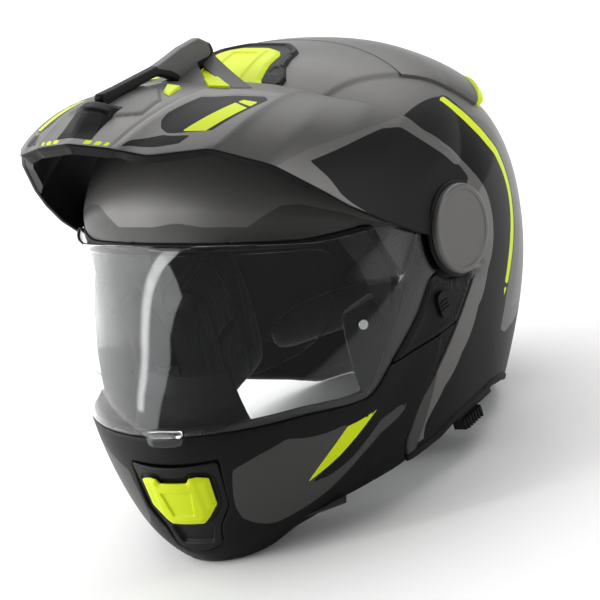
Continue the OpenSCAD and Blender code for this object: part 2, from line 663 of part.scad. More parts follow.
module chin_gasket() color("#101010") lifted() whole() difference() {
    intersection() {
        outer_egg(shield_in - half_w - 0.4, 36, 18);
        across() intersection() {
            offset(delta = 4.5) chin_region();
            translate([-180, -66]) square([84, 40]);
        }
    }
    across() offset(delta = -0.2) chin_region();
    outer_egg(-chin_t - 3, 36, 18);
}

// Foam, breath guard and curtain inside the chin bar
module chin_foam() color("#1b1b1d") lifted() whole() difference() {
    intersection() {
        slab([for (i = [0:4]) [for (j = [0:12]) outer_at(0, -38 + 16 * i / 4, 46 * (j / 6 - 1))]],
            [for (i = [0:4]) [for (j = [0:12]) outer_at(-chin_t - 15, -38 + 16 * i / 4, 46 * (j / 6 - 1))]]);
        outer_egg(-chin_t - soft_gap, 28, 14);
    }
    facing() translate([0, 0, -12]) linear_extrude(60) offset(delta = 1.5) vent_shape();
    translate([-150, -200, -68]) cube([300, 200, 60]);
}
guard_t = 2.5;
module breath_guard() {
    function at(d, u, v) = outer_at(-chin_t - 15.5 - 10 * u - d, -24 + 12 * u, 26 * v * (1 - 0.3 * u));
    color("#151515") lifted() slab([for (i = [0:4]) [for (j = [0:14]) at(0, i / 4, j / 7 - 1)]],
        [for (i = [0:4]) [for (j = [0:14]) at(guard_t, i / 4, j / 7 - 1)]]);
}
curtain_t = 44;
function curtain_point(u, t, d) = let (p = outer_at(-chin_t + 1, -40.5, t))
    [p[0] * (1 - 0.26 * u), p[1] + (30 + 14 * cos(1.4 * t)) * u,
        -125 + 5 * sin(90 * u) + 1.2 * u * cos(9 * t) + d];
module chin_curtain() color("#19191b") lifted() whole() intersection() {
    slab([for (i = [0:5]) [for (j = [0:18]) curtain_point(i / 5, curtain_t * (j / 9 - 1), 0)]],
        [for (i = [0:5]) [for (j = [0:18]) curtain_point(i / 5, curtain_t * (j / 9 - 1), -1.6)]]);
    outer_egg(-chin_t - soft_gap, 28, 14);
}

// Face shield, its hubs, its pins and the insert they hold
module face_shield() color([0.75, 0.8, 0.82, 0.3]) lifted() whole() difference() {
    union() {
        difference() {
            intersection() {
                outer_egg(shield_out - half_w, 36, 18);
                across() shield_region();
            }
            outer_egg(shield_in - half_w, 36, 18);
        }
        // Thumb tab under the lower edge, which runs into the shield's wall
        difference() {
            intersection() {
                across(13) polygon([[-150, -47], [-174, -48.5], [-176.5, -52], [-176.5, -58],
                    [-174.3, -58], [-174, -52.4], [-150, -52.3]]);
                translate([0, -150, 0]) rotate([90, 0, 0]) linear_extrude(40)
                    polygon([[-13, -48], [13, -48], [13, -53], [9, -58], [-9, -58], [-13, -53]]);
            }
            outer_egg(shield_in - half_w + 0.5, 36, 18);
        }
    }
    across(200) rotate(3) circle(shield_hub_r + 0.15, $fn = 36);
}
module shield_hubs() color("#202020") lifted() both_sides()
    ring_x(shield_hub_r, pin_r + pin_gap, shield_in, shield_out);

pin_phi = -13.5;
pin_t = 59;
function unit(v) = v / norm(v);
function skin_normal(phi, t) = unit(cross(
    outer_at(0, phi, t + 1) - outer_at(0, phi, t - 1), outer_at(0, phi + 1, t) - outer_at(0, phi - 1, t)));
module on_skin(d, phi, t) {
    n = skin_normal(phi, t);
    translate(outer_at(d, phi, t)) rotate([0, acos(n[2]), atan2(n[1], n[0])]) children();
}
module shield_pins() color("#b9bbbd") lifted() whole() both_sides() intersection() {
    on_skin(shield_in - half_w, pin_phi, pin_t) translate([0, 0, -1.6]) cylinder(r = 3, h = 4, $fn = 24);
    outer_egg(shield_in - half_w - 0.15, 36, 18);
}
module antifog_insert() {
    function at(d, i, j) = outer_at(shield_in - half_w - 0.35 - d, -10 + 10 * i, 10 * j);
    color([0.8, 0.85, 0.85, 0.25]) lifted() slab([for (i = [0:3]) [for (j = [-5:5]) at(0, i, j)]],
        [for (i = [0:3]) [for (j = [-5:5]) at(insert_t, i, j)]]);
}

// The peak: its front and lower edge, and its rear edge, from the middle out to the pivot
peak_edge = [[0, -peak_reach, 154], [25, 5 - peak_reach, 148.5], [peak_front_w, 13 - peak_reach, 139],
    [70, -136, 127], [93, -111, 102.5], [106.5, -89.5, 73.6], [112.5, -76, 56], [121, -55, 34],
    [127, -34, 15], [127.6, -24, 8]];
peak_rear = [[0, -38, 122], [24, -36, 120], [46, -30, 115], [63, -27, 110], [80, -22, 102], [95, -8, 90],
    [109, 8, 72], [121, 20, 43], [126.6, 25, 22], [127.6, 16, 16]];
peak_bulge = [14, 13.5, 11, 10, 8, 6, 4, 2, 0.4, 0];
peak_rows = 5;
peak_cols = 14;
function mixed(list, u) =
    let (i = min(floor(u), len(list) - 2)) list[i] * (1 - u + i) + list[i + 1] * (u - i);
function peak_point(s, u) =
    let (k = abs(u), e = mixed(peak_edge, k), b = mixed(peak_rear, k))
    let (h = 4 * mixed(peak_bulge, k) * s * (1 - s))
    let (p = b * (1 - s) + e * s, out = k / 9)
    [sign(u) * (p[0] + h * out), p[1] - h * 0.3 * (1 - out), p[2] + h * (1 - 0.6 * out)];
function peak_normal(s, u) = unit(cross(
    peak_point(min(s + 0.05, 1), u) - peak_point(max(s - 0.05, 0), u),
    peak_point(s, min(u + 0.1, 9)) - peak_point(s, max(u - 0.1, -9))));
// Rows i0 on and columns out to j1 of the peak's grid, let down by d0 at the first row and d1 at the last
function peak_sheet(i0, j1, d0, d1) = [for (i = [i0:peak_rows]) [for (j = [j1:-1:-j1])
    let (s = i / peak_rows, u = 9 * j / peak_cols, v = (i - i0) / (peak_rows - i0))
    peak_point(s, u) - peak_normal(s, u) * (d0 + (d1 - d0) * v)]];
module peak_body() {
    difference() {
        union() {
            slab(peak_sheet(0, peak_cols, 0, 0), peak_sheet(0, peak_cols, peak_t, peak_t));
            both_sides() ring_x(peak_hub_disc, 1, peak_in, peak_out);
        }
        across(200) circle(hub_r + 0.15, $fn = 48);
    }
}
module peak() color("#64625f") lifted() whole() peak_body();
module peak_tray() color("#121212") lifted()
    slab(peak_sheet(2, 8, peak_t + 0.15, peak_t + 0.15), peak_sheet(2, 8, peak_t + 1.6, peak_t + 5.5));
module peak_hubs() color("#202020") lifted() both_sides() ring_x(hub_r, pin_r + pin_gap, peak_in, peak_out);
module peak_fin() color("#2e2e2f") lifted() whole() difference() {
    union() {
        rotate([90, 0, 90]) linear_extrude(fin_t, center = true) difference() {
            polygon([[-137, 145], [-136, 162], [-68, 151.5], [-26, 144.5], [-18.5, 137.5], [-22.5, 131.5],
                [-34, 131], [-38.5, 124], [-44, 112], [-75, 112]]);
            polygon([[-126, 156.6], [-72, 148], [-66, 140], [-72, 130], [-120, 140]]);
        }
        both_sides() hull() {
            translate([0, -64, 126]) cube([fin_t / 2, 24, 8]);
            translate([19, -72, 108]) cube([4, 28, 12]);
        }
    }
    slab(peak_sheet(0, peak_cols, -0.15, -0.15), peak_sheet(0, peak_cols, 60, 60));
}
insert_s = [0.25, 0.36];
insert_u = [0.35, 0.75];
module peak_inserts() {
    function at(d, i, j) = let (s = insert_s[0] + (insert_s[1] - insert_s[0]) * i,
        u = insert_u[1] + (insert_u[0] - insert_u[1]) * j) peak_point(s, u) + peak_normal(s, u) * d;
    color("#e2ff1e") lifted() both_sides()
        slab([for (i = [0:3]) [for (j = [0:3]) at(2, i / 3, j / 3)]],
            [for (i = [0:3]) [for (j = [0:3]) at(0.15, i / 3, j / 3)]]);
}

outer_shell();
rim_trim();
eye_port_gasket();
foam_liner();
crown_pad();
cheek_pad_left();
cheek_pad_right();
neck_roll();
rear_ridge();
rear_vent();
crown_vent_base();
crown_vent_cover();
pivot_pins();
pivot_cover_left();
pivot_cover_right();
sun_visor();
sun_visor_pins();
sun_visor_lever();
lever_guide();
strap_anchors();
strap_left();
strap_right();
buckle_body();
buckle_lever();
latch_strikers();
chin_bar();
chin_hubs();
side_plate_left();
side_plate_right();
lock_slider();
chin_vent_bezel();
chin_vent_grille();
chin_vent_slider();
chin_gasket();
chin_foam();
breath_guard();
chin_curtain();
latch_pins();
latch_hooks();
release_housing();
release_button();
face_shield();
shield_hubs();
shield_pins();
antifog_insert();
peak();
peak_tray();
peak_hubs();
peak_fin();
peak_inserts();
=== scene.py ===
"""Looks of a modular motorcycle helmet with a flip-up chin bar, a clear face shield and an adventure peak.

The helmet stands on its rim, faces -Y and has the wearer's left side at +X. Shapes are worked out in
millimetres from the side pivots and put into meshes in metres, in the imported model's frame.
"""

import json
import math

import bpy
import numpy as np
from mathutils import Matrix, Vector


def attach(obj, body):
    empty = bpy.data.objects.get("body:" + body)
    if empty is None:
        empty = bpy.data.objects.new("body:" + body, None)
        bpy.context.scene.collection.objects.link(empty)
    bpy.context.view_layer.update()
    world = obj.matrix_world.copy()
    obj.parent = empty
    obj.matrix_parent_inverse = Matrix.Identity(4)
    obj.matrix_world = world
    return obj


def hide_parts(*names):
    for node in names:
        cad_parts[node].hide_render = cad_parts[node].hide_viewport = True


bl_info = {
    "name": "Modular Helmet Looks",
    "version": (1, 0, 0),
    "blender": (4, 5, 0),
    "location": "View3D > Sidebar > Helmet",
    "description": "Dresses the packed helmet with fine surfaces, paint, lining and studio light",
    "category": "Object",
}

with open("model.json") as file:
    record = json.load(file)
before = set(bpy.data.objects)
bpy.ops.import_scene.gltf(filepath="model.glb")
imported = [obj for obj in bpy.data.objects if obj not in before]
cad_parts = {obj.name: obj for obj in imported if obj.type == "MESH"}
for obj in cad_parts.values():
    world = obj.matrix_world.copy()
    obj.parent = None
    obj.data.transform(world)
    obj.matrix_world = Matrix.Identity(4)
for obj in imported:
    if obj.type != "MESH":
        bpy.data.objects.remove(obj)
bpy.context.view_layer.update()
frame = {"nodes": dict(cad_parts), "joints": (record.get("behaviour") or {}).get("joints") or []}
MM = 0.001
PIVOT = 1 / MM * np.array([0.0] + list(next(
    j["pos_m"] for j in frame["joints"] if j["name"] == "chin_bar_hinge"))[1:])

# Paint tags. The fourth is the grey lifted into a painted highlight on the peak's lit facets. The sixth is the
# grey let down into painted shade, and it is also the rear strip's own grey
GREY, BLACK, NEON, PAINTED_HIGHLIGHT, DARK, GREY_STRIPE_AND_PAINTED_SHADE = range(6)

# Levels at the pivots and sizes shared with the part's source, in millimetres
HALF_W = 124.0
STEP = 6.0
FLOOR_X = HALF_W - STEP
ARM_OUT = FLOOR_X + 3.2
SHIELD_IN = ARM_OUT + 0.5
SHIELD_OUT = SHIELD_IN + 2.0
PEAK_IN = SHIELD_OUT + 1.2
PEAK_OUT = PEAK_IN + 2.6
PEAK_DISC = 29.5
PIVOT_BORE = 12.6
PART_GAP = 0.3
FRONT_CORNER = 5

# The shell rises to the outer skin below this level and past this distance from the pivots
RISE_Z = -31
RISE_DISC = 31.5

# The chin's front: its tilt, its place and the radius of its bow
FACE_TILT = math.radians(97)
FACE_Y, FACE_Z = -173, -70
FACE_RADIUS = 70

# The head's hollow: half its width, half its length, the place of its middle, and its dome's foot and height
HOLLOW_HALF, HOLLOW_LONG, HOLLOW_Y = 88, 102, 12
HOLLOW_Z, HOLLOW_HIGH = -14, 96

# The dome of the skins near the pivots: where it gives way, over what width, its radius and its power
DOME_FROM, DOME_BLEND, DOME_RADIUS, DOME_POWER = 24, 20, 160, 2.35

# Angles: the start of the turn round the pivots, the end of a skin's lattice off the middle, the end of the
# crown's plateau, the ridge's start and turn, the black trim's start and end, and the first one of the
# shell's graphics
TURN_START = -100
POLE = 89.4
CROWN_END = 170
RIDGE_FROM, RIDGE_TURN = 124, 38
TRIM_FROM, TRIM_TO = 229, 306
GRAPHICS_START = 60

# A degree across the face shield's insert is about this many millimetres
MM_PER_DEGREE = 2.2

# An outline that runs out of the helmet ends this far off
FAR = 260

# The peak's last parameter, at the pivots, and the scale of it that its outlines are drawn with
PEAK_ENDS = 9
PEAK_ACROSS = 0.25

# A slope's step as a part of the lattice's, the least part of an edge that a cut leaves, and the distance at
# which points are one
NUDGE = 0.02
CUT_MARGIN = 0.06
WELD = 1e-4
TINY = 1e-12

# A material's gloss drifts by this, and the wave texture has about this many bands in a metre at scale 1
ROUGH_DRIFT = 0.06
WAVES_PER_SCALE = 3.2

# The photograph's width and scale, which the camera's view takes
PHOTO_PX, PX_PER_M = 600, 1650

# The skins' power and radius by the angle round the pivots, and the shell's own radius and half width
POWERS = np.array([[-100, 2.35], [-75, 2.3], [-60, 2.15], [-42, 1.78], [-30, 1.9], [-17, 2.02], [0, 1.97],
                   [23, 2.2], [35, 2.35], [260, 2.35]])
RADII = np.array([[-100, 188.4], [-75, 205.68], [-60, 212], [-42, 216], [-37, 214], [-17, 180], [0, 147],
                  [23, 122], [34, 116], [60, 112], [90, 110], [118, 111], [148, 126], [178, 149],
                  [208, 159.5], [238, 170], [260, 188.4]])
SHELL_RADII = RADII - np.where(RADII[:, :1] < 30, [[0.0, STEP]], [[0.0, 0.0]])
SHELL_WIDTHS = np.array([[-100, FLOOR_X], [148, FLOOR_X], [172, HALF_W], [236, HALF_W], [248, FLOOR_X]])

# Outlines as seen from the side, as Y and Z from the pivots
SEAM = [[10, -36], [-16, -54], [-44, -75], [-61, -88], [-73, -107], [-73, -122]]
RIM = [[-185, -143], [-152, -143], [-140, -131], [-116, -125], [-73, -121.5], [-47, -119.5], [-31, -115.5],
       [14, -115.5], [35, -122], [60, -136], [70, -143], [185, -143]]
BROW = [[-135, 49], [-112, 48], [-98, 42.5], [-85, 37], [-52, 31]]
SHIELD_TOP = [[-190, 47.5], [-112, 47.5], [-98, 41], [-85, 35.5], [-52, 28.5]]
SHIELD_FOOT = [[-96, -65.5], [-110, -63.3], [-134, -57], [-172, -52.5], [-190, -52.5]]
SHIELD_BACK = [[-33, -17], [-49, -33], [-76, -51.5], [-88, -62]]
CHIN_OUTLINE = SHIELD_FOOT[::-1] + [[-90, -60], [-64, -26], [-29, 15], [0, 20]] + SEAM + RIM[4::-1]
FRONT_OUTLINE = ([[-FAR, 60]] + BROW + [[-50, 10], [-46, -12], [-44, -35], [-40, -52], [-44, -75]] + SEAM[3:]
                 + [[-73, -FAR], [-FAR, -FAR]])
SHIELD_OUTLINE = SHIELD_TOP + [[-20, 14], [0, 16], [12, 0], [0, -14], [-14, -14]] + SHIELD_BACK + SHIELD_FOOT
PLATE_OUTLINE = [[-77, -53.5], [-49, -34], [-33, -18.5], [-14, -16], [0, 0], [18, -28], [20, -54], [-40, -54]]

# Outlines of the paint on the shell and the chin bar, as the angle round the pivots and the one off the
# middle
SWOOSH_FRONT = [[102.1, 54.3], [106.6, 57.0], [115.5, 61.6], [129.7, 66.6], [146.2, 70.6], [159.4, 73.5],
                [171.7, 75.4], [186.9, 75.9], [199.8, 76.1], [211.1, 76.3], [227.7, 76.6], [239.3, 77.1],
                [264.8, 76.2], [276, 73.4], [284.6, 71], [294.4, 65], [298, 60.4], [299.3, 57.9],
                [299.2, 56.4], [297.4, 53]]
SWOOSH_REAR = [[138.7, 48.2], [142.7, 46.9], [146.1, 46.8], [154.8, 52], [160.8, 54.9], [169.7, 57.6],
               [178.2, 59.2], [184.8, 60.1], [191, 60.9], [199.7, 61.9], [207.1, 62.8], [217.1, 64.2],
               [225.8, 65.1], [234.9, 65.4], [243.9, 64.6], [251.2, 63.9]]
GREY_TIP = [[251.2, 63.9], [248.2, 60.5], [243.7, 57.8], [229, 46.5], [222, 30], [218, -4]]
NEON_FRONT = [[137.7, 49.4], [148, 54.1], [156.4, 57.9], [165.7, 60.9], [175.3, 62.7], [183.3, 63.4],
              [188.8, 63.8], [194.1, 64.3], [201.2, 65.2], [213.1, 66.9], [223.5, 67.6], [235.4, 67.7]]
NEON_TIP = [[237, 67.6], [242.5, 67.0], [234.4, 65.9]]
NEON_REAR = [[142.5, 47.6], [151, 50.9], [158.8, 54.5], [167, 57.5], [176.8, 59.9], [184.3, 60.9],
             [189.7, 61.5], [194.7, 62.1], [201.9, 63.0], [212.6, 64.4], [222.2, 65.3], [232.9, 65.8]]
LIGHT_REAR = [[166, 50.5], [180, 53.5], [195.7, 55.6], [208.7, 57.5], [216.5, 59.2], [228.5, 60.6],
              [239, 60.2]]
TRIM_LINE = np.array([[228, 38], [239.1, 46.5], [253.9, 56.1], [269.2, 59.3], [282.3, 60.1], [292.9, 57],
                      [297.5, 55], [300.9, 53.1], [306, 49]])
BROW_LINE = np.array([[0, 29.4], [6.8, 28.2], [20.9, 28.3], [31.3, 35.9], [37.4, 36.8], [52.5, 34.9],
                      [62.8, 32.1], [80, 28]])
BROW_GROOVE = np.array([[0, 15], [9, 19], [13.6, 22.7], [23.9, 28.2], [27.5, 29.2], [40.9, 29.6],
                        [63.4, 29.0], [80, 26]])
CROWN_STEP = np.array([[60, 25], [75.3, 30.7], [85.5, 32.9], [104.9, 35.9], [120.9, 38.3], [148.5, 38.9],
                       [166, 38]])
CHIN_PANEL = [[-24.9, 18.6], [-24.6, 26], [-25.0, 34.2], [-33, 47.5], [-43.4, 53.4], [-47.4, 57.6],
              [-50.5, 59.6], [-49.7, 57], [-45.8, 51.5], [-44.1, 46], [-42.4, 36.9], [-40.1, 29.8],
              [-38.8, 25.1], [-37.4, 22.3], [-36, 20], [-33.9, 17.4], [-31.5, 16.7], [-28.8, 17.2]]
CHIN_SLASH = [[-39.9, 55], [-34.3, 48.2], [-36.2, 34.7], [-38.1, 43.3]]
CHIN_WEDGE = [[-39.7, 54.4], [-38.1, 43.3], [-36.3, 34.7], [-39.8, 39.9], [-42.1, 45], [-43.5, 53.3],
              [-45.5, 56.2], [-47.1, 57.8]]
CHIN_LINE = np.array([[0, -41.2], [11.8, -41.8], [27.4, -44], [38.8, -45.9], [47.3, -48.4], [51, -51.4],
                      [58, -58]])

# The peak's front and lower edge, its rear edge and its bulge, from the middle out to the pivot
PEAK_EDGE = np.array([[0, -181, 154], [25, -176, 148.5], [47, -168, 139], [70, -136, 127], [93, -111, 102.5],
                      [106.5, -89.5, 73.6], [112.5, -76, 56], [121, -55, 34], [127, -34, 15],
                      [127.6, -24, 8]])
PEAK_REAR = np.array([[0, -38, 122], [24, -36, 120], [46, -30, 115], [63, -27, 110], [80, -22, 102],
                      [95, -8, 90], [109, 8, 72], [121.9, 20, 43], [127.3, 25, 22], [127.6, 16, 16]])
PEAK_BULGE = np.array([14, 13.5, 11, 10, 8, 6, 4, 2, 0.4, 0])

# Outlines of the peak's paint, its painted highlights and its painted shade, as s from its rear edge to its
# front one and u out from the middle
PEAK_INSERT = [[0.71, 1.55], [0.64, 1.5], [0.39, 1.58], [0.3, 2.07], [0.28, 2.79], [0.35, 3.03], [0.79, 2.72],
               [0.8, 1.92], [0.77, 1.7]]
PEAK_BAR = [[0.78, 2.17], [0.41, 2.41], [0.49, 2.84], [0.79, 2.61]]
PEAK_BAR_END = [[0.395, 2.42], [0.36, 2.47], [0.39, 2.87], [0.465, 2.86]]
PEAK_STRIPE = [[0.975, 1.29], [0.92, 1.42], [0.82, 1.9], [0.83, 2.42], [0.91, 2.36], [0.955, 1.53]]
PEAK_ARM = [[0.82, 4.55], [0.59, 4.94], [0.22, 5.62], [0.13, 5.98], [0.045, 7.42], [-0.1, 7.83], [-0.1, 9.2],
            [1.1, 9.2], [1.02, 6.9], [0.95, 5.6]]
PEAK_CREASE = [[0.2, 1.22], [0.51, 1.3], [0.66, 1.28], [0.81, 1.2], [1, 1.08]]
PEAK_HOOD = [[0.79, -0.1], [0.77, 0.085], [0.7, 0.27], [0.52, 0.255], [0.37, 0.12], [0.34, -0.1]]
PEAK_FRONT = [[1.1, -0.4], [1.1, 1.0], [0.94, 1.04], [0.7, 1.14], [0.55, 1.12], [0.55, 0.9], [0.78, 0.3],
              [0.8, -0.4]]
PEAK_BAND = [[1.1, 1.04], [0.81, 1.2], [0.66, 1.28], [0.51, 1.3], [0.35, 1.3], [0.22, 1.5], [0.17, 2.1],
             [0.17, 3.0], [0.25, 3.0], [0.26, 2.05], [0.37, 1.55], [0.64, 1.47], [0.8, 1.4], [1.1, 1.2]]
PEAK_FLANK = [[1.1, 3.0], [0.73, 3.1], [0.43, 3.15], [0.2, 3.13], [-0.1, 3.1], [-0.1, 6.1], [0.19, 5.5],
              [0.51, 4.8], [0.73, 4.4], [0.97, 4.1], [1.1, 4.0]]
PEAK_TICKS = [[[0.985, 0.62], [0.955, 0.66], [0.955, 0.82], [0.985, 0.78]],
              [[0.985, 0.86], [0.955, 0.9], [0.955, 1.02], [0.985, 0.97]],
              [[0.985, 0.36], [0.955, 0.4], [0.955, 0.58], [0.985, 0.54]]]

# The chin vent's bezel and slider, across and along the chin's tilted face
VENT_OUTLINE = [[-32, -70], [32, -70], [30, -101], [20, -115], [17, -127], [8, -131], [-8, -131], [-17, -127],
                [-20, -115], [-30, -101]]
SLIDER_OUTLINE = [[-25, -79], [-18, -77], [-12, -77], [-10, -80], [10, -80], [12, -77], [18, -77], [25, -79],
                  [24, -98], [17, -106], [12, -110], [-12, -110], [-17, -106], [-24, -98]]


# Tables, outlines and fields

def through(table, x):
    """Cubic through a table's points. Its slope at each is the rise between the two neighbours."""
    k, v = np.asarray(table, float).T
    slope = np.gradient(v, k)
    slope[1:-1] = (v[2:] - v[:-2]) / (k[2:] - k[:-2])
    i = np.clip(np.searchsorted(k, x, side="right") - 1, 0, len(k) - 2)
    h = k[i + 1] - k[i]
    u = np.clip((x - k[i]) / h, 0, 1)
    return ((2 * u ** 3 - 3 * u ** 2 + 1) * v[i] + (u ** 3 - 2 * u ** 2 + u) * h * slope[i]
            + (3 * u ** 2 - 2 * u ** 3) * v[i + 1] + (u ** 3 - u ** 2) * h * slope[i + 1])


def along(table, x):
    """Straight lines through a table's points."""
    k, v = np.asarray(table, float).T
    return np.interp(x, k, v)


def ramp(x):
    """Smooth step: 0 below 0, 1 above 1, and 3x^2 - 2x^3 between."""
    u = np.clip(x, 0, 1)
    return u * u * (3 - 2 * u)


def unit(v):
    """Vectors divided by their own lengths."""
    return v / np.maximum(np.linalg.norm(v, axis=-1, keepdims=True), TINY)


def lattice(us, vs):
    """Arrays of two parameters, a row for each u and a column for each v, given as start, end and count."""
    return np.meshgrid(np.linspace(*us), np.linspace(*vs), indexing="ij")


def outline_distance(outline, x, y):
    """Least distance of each point from a closed outline's sides. It is positive inside, where a ray from the
    point crosses an odd number of sides."""
    a = np.asarray(outline, float)
    b = np.roll(a, -1, 0)
    d = b - a
    p = np.stack([np.ravel(x), np.ravel(y)], -1)[:, None, :]
    u = np.clip(((p - a) * d).sum(-1) / np.maximum((d * d).sum(-1), TINY), 0, 1)
    away = np.linalg.norm(p - a - u[..., None] * d, axis=-1).min(1)
    above = (a[:, 1] > p[..., 1]) != (b[:, 1] > p[..., 1])
    rise = np.where(d[:, 1] == 0, TINY, d[:, 1])
    hits = above & (p[..., 0] < a[:, 0] + (p[..., 1] - a[:, 1]) * d[:, 0] / rise)
    return np.where(hits.sum(1) % 2 == 1, away, -away).reshape(np.shape(x))


def rounded(outline, radius, steps=4):
    """Outline with each corner replaced by a parabola that starts and ends up to radius from the corner."""
    o = np.asarray(outline, float)
    before, after = np.roll(o, 1, 0) - o, np.roll(o, -1, 0) - o
    lb, la = np.linalg.norm(before, axis=1), np.linalg.norm(after, axis=1)
    r = np.minimum(radius, 0.45 * np.minimum(lb, la))[:, None]
    p, q = o + before / lb[:, None] * r, o + after / la[:, None] * r
    u = np.linspace(0, 1, steps + 1)[None, :, None]
    return ((1 - u) ** 2 * p[:, None] + 2 * u * (1 - u) * o[:, None] + u ** 2 * q[:, None]).reshape(-1, 2)


def seen_from_side(outline, grow=0.0):
    """Field of an outline given as Y and Z, carried right across the helmet and grown by a distance."""
    return lambda p, uv: outline_distance(outline, p[:, 1], p[:, 2]) + grow


def round_the_pivot(radius):
    """Field of a disc round the pivot axis: its radius less the distance from the axis."""
    return lambda p, uv: radius - np.hypot(p[:, 1], p[:, 2])


def ahead_of(y):
    """Field of all that lies in front of the level y."""
    return lambda p, uv: y - p[:, 1]


def on_the_skin(outline, start=TURN_START):
    """Field of an outline given as the angle round the pivots and the angle off the middle, the same on both
    sides. The first angle is taken in the turn from start on."""
    return lambda p, uv: outline_distance(outline, (uv[:, 0] - start) % 360 + start, np.abs(uv[:, 1]))


def on_the_lattice(outline, grow=0.0):
    """Field of an outline given in the sheet's own two parameters, grown by a distance."""
    return lambda p, uv: outline_distance(outline, uv[:, 0], uv[:, 1]) + grow


def either(*fields):
    """Field of all that lies in one of several fields: the greatest of their values."""
    return lambda p, uv: np.max([f(p, uv) for f in fields], axis=0)


def both(*fields):
    """Field of what lies in every one of several fields: the least of their values."""
    return lambda p, uv: np.min([f(p, uv) for f in fields], axis=0)


def outside(field):
    """Field of all that another leaves out: its value with the sign turned."""
    return lambda p, uv: -field(p, uv)


def grown(field, by):
    """Field moved out by a distance, or in where the distance is negative."""
    return lambda p, uv: field(p, uv) + by


# Skins: superellipses in each plane through the pivot axis

def skin(width, radius, phi, t):
    """Point at angle phi round the pivot axis and t off the middle plane. Its distance from the axis is
    radius times cos t to the power k, and its height along the axis is width times sin t to the same power,
    where k is 2 over the table of powers. Near the pivots the height follows one round dome instead."""
    k = 2 / np.mean([along(POWERS, phi + d) for d in (-5, -2.5, 0, 2.5, 5)], axis=0)
    c, s = np.abs(np.cos(np.radians(t))) ** k, np.abs(np.sin(np.radians(t))) ** k
    rho = radius * c
    w = ramp((rho - DOME_FROM) / DOME_BLEND)
    dome = (1 - np.minimum(rho / DOME_RADIUS, 1) ** DOME_POWER) ** (1 / DOME_POWER)
    x = width * np.sign(t) * (w * s + (1 - w) * dome)
    return np.stack([x, -rho * np.cos(np.radians(phi)), rho * np.sin(np.radians(phi))], -1)


def wrapped(phi):
    """The same angle in the turn from -100 degrees on."""
    return (phi - TURN_START) % 360 + TURN_START


def given(d, *at):
    """A distance that comes as a number, an array, or a function of the surface's two parameters."""
    return d(*at) if callable(d) else d


def outer_skin(d=0.0):
    """The helmet's outer skin, moved out by d: one width, and the table of radii."""
    def at(phi, t):
        f, out = wrapped(phi), given(d, phi, t)
        return skin(HALF_W + out, through(RADII, f) + out, f, t)
    return at


def shell_skin(d=0.0):
    """The shell's own skin under the moving parts, moved out by d: its own tables of widths and radii."""
    def at(phi, t):
        f, out = wrapped(phi), given(d, phi, t)
        return skin(along(SHELL_WIDTHS, f) + out, through(SHELL_RADII, f) + out, f, t)
    return at


def full_shell(d=0.0):
    """The shell's skin, moved out by d. It rises to the outer skin below and behind the pivots, and is let
    down to the level of their floor under the peak's discs."""
    def at(phi, t):
        high, low = outer_skin(d)(phi, t), shell_skin(d)(phi, t)
        near = 1 - ramp((np.hypot(low[..., 1], low[..., 2]) - PEAK_DISC) / 1.5)
        low[..., 0] -= np.sign(low[..., 0]) * near * np.maximum(np.abs(low[..., 0]) - FLOOR_X, 0)
        w = ramp((RISE_Z - high[..., 2]) / 8) * ramp((np.hypot(high[..., 1], high[..., 2]) - RISE_DISC) / 2)
        return low + w[..., None] * (high - low)
    return at


# Sheets and closed bodies

def quads_of(nu, nv, loop_u=False, loop_v=False):
    """Corner numbers of the quads between nu by nv points. A loop runs on from the last to the first."""
    rows, columns = nu if loop_u else nu - 1, nv if loop_v else nv - 1
    i, j = (a.ravel() for a in np.meshgrid(np.arange(rows), np.arange(columns), indexing="ij"))
    k, m = (i + 1) % nu, (j + 1) % nv
    return np.stack([i * nv + j, k * nv + j, k * nv + m, i * nv + m], 1)


def tagged(faces, tag):
    """Faces with the same tag for each."""
    return faces, np.full(len(faces), tag)


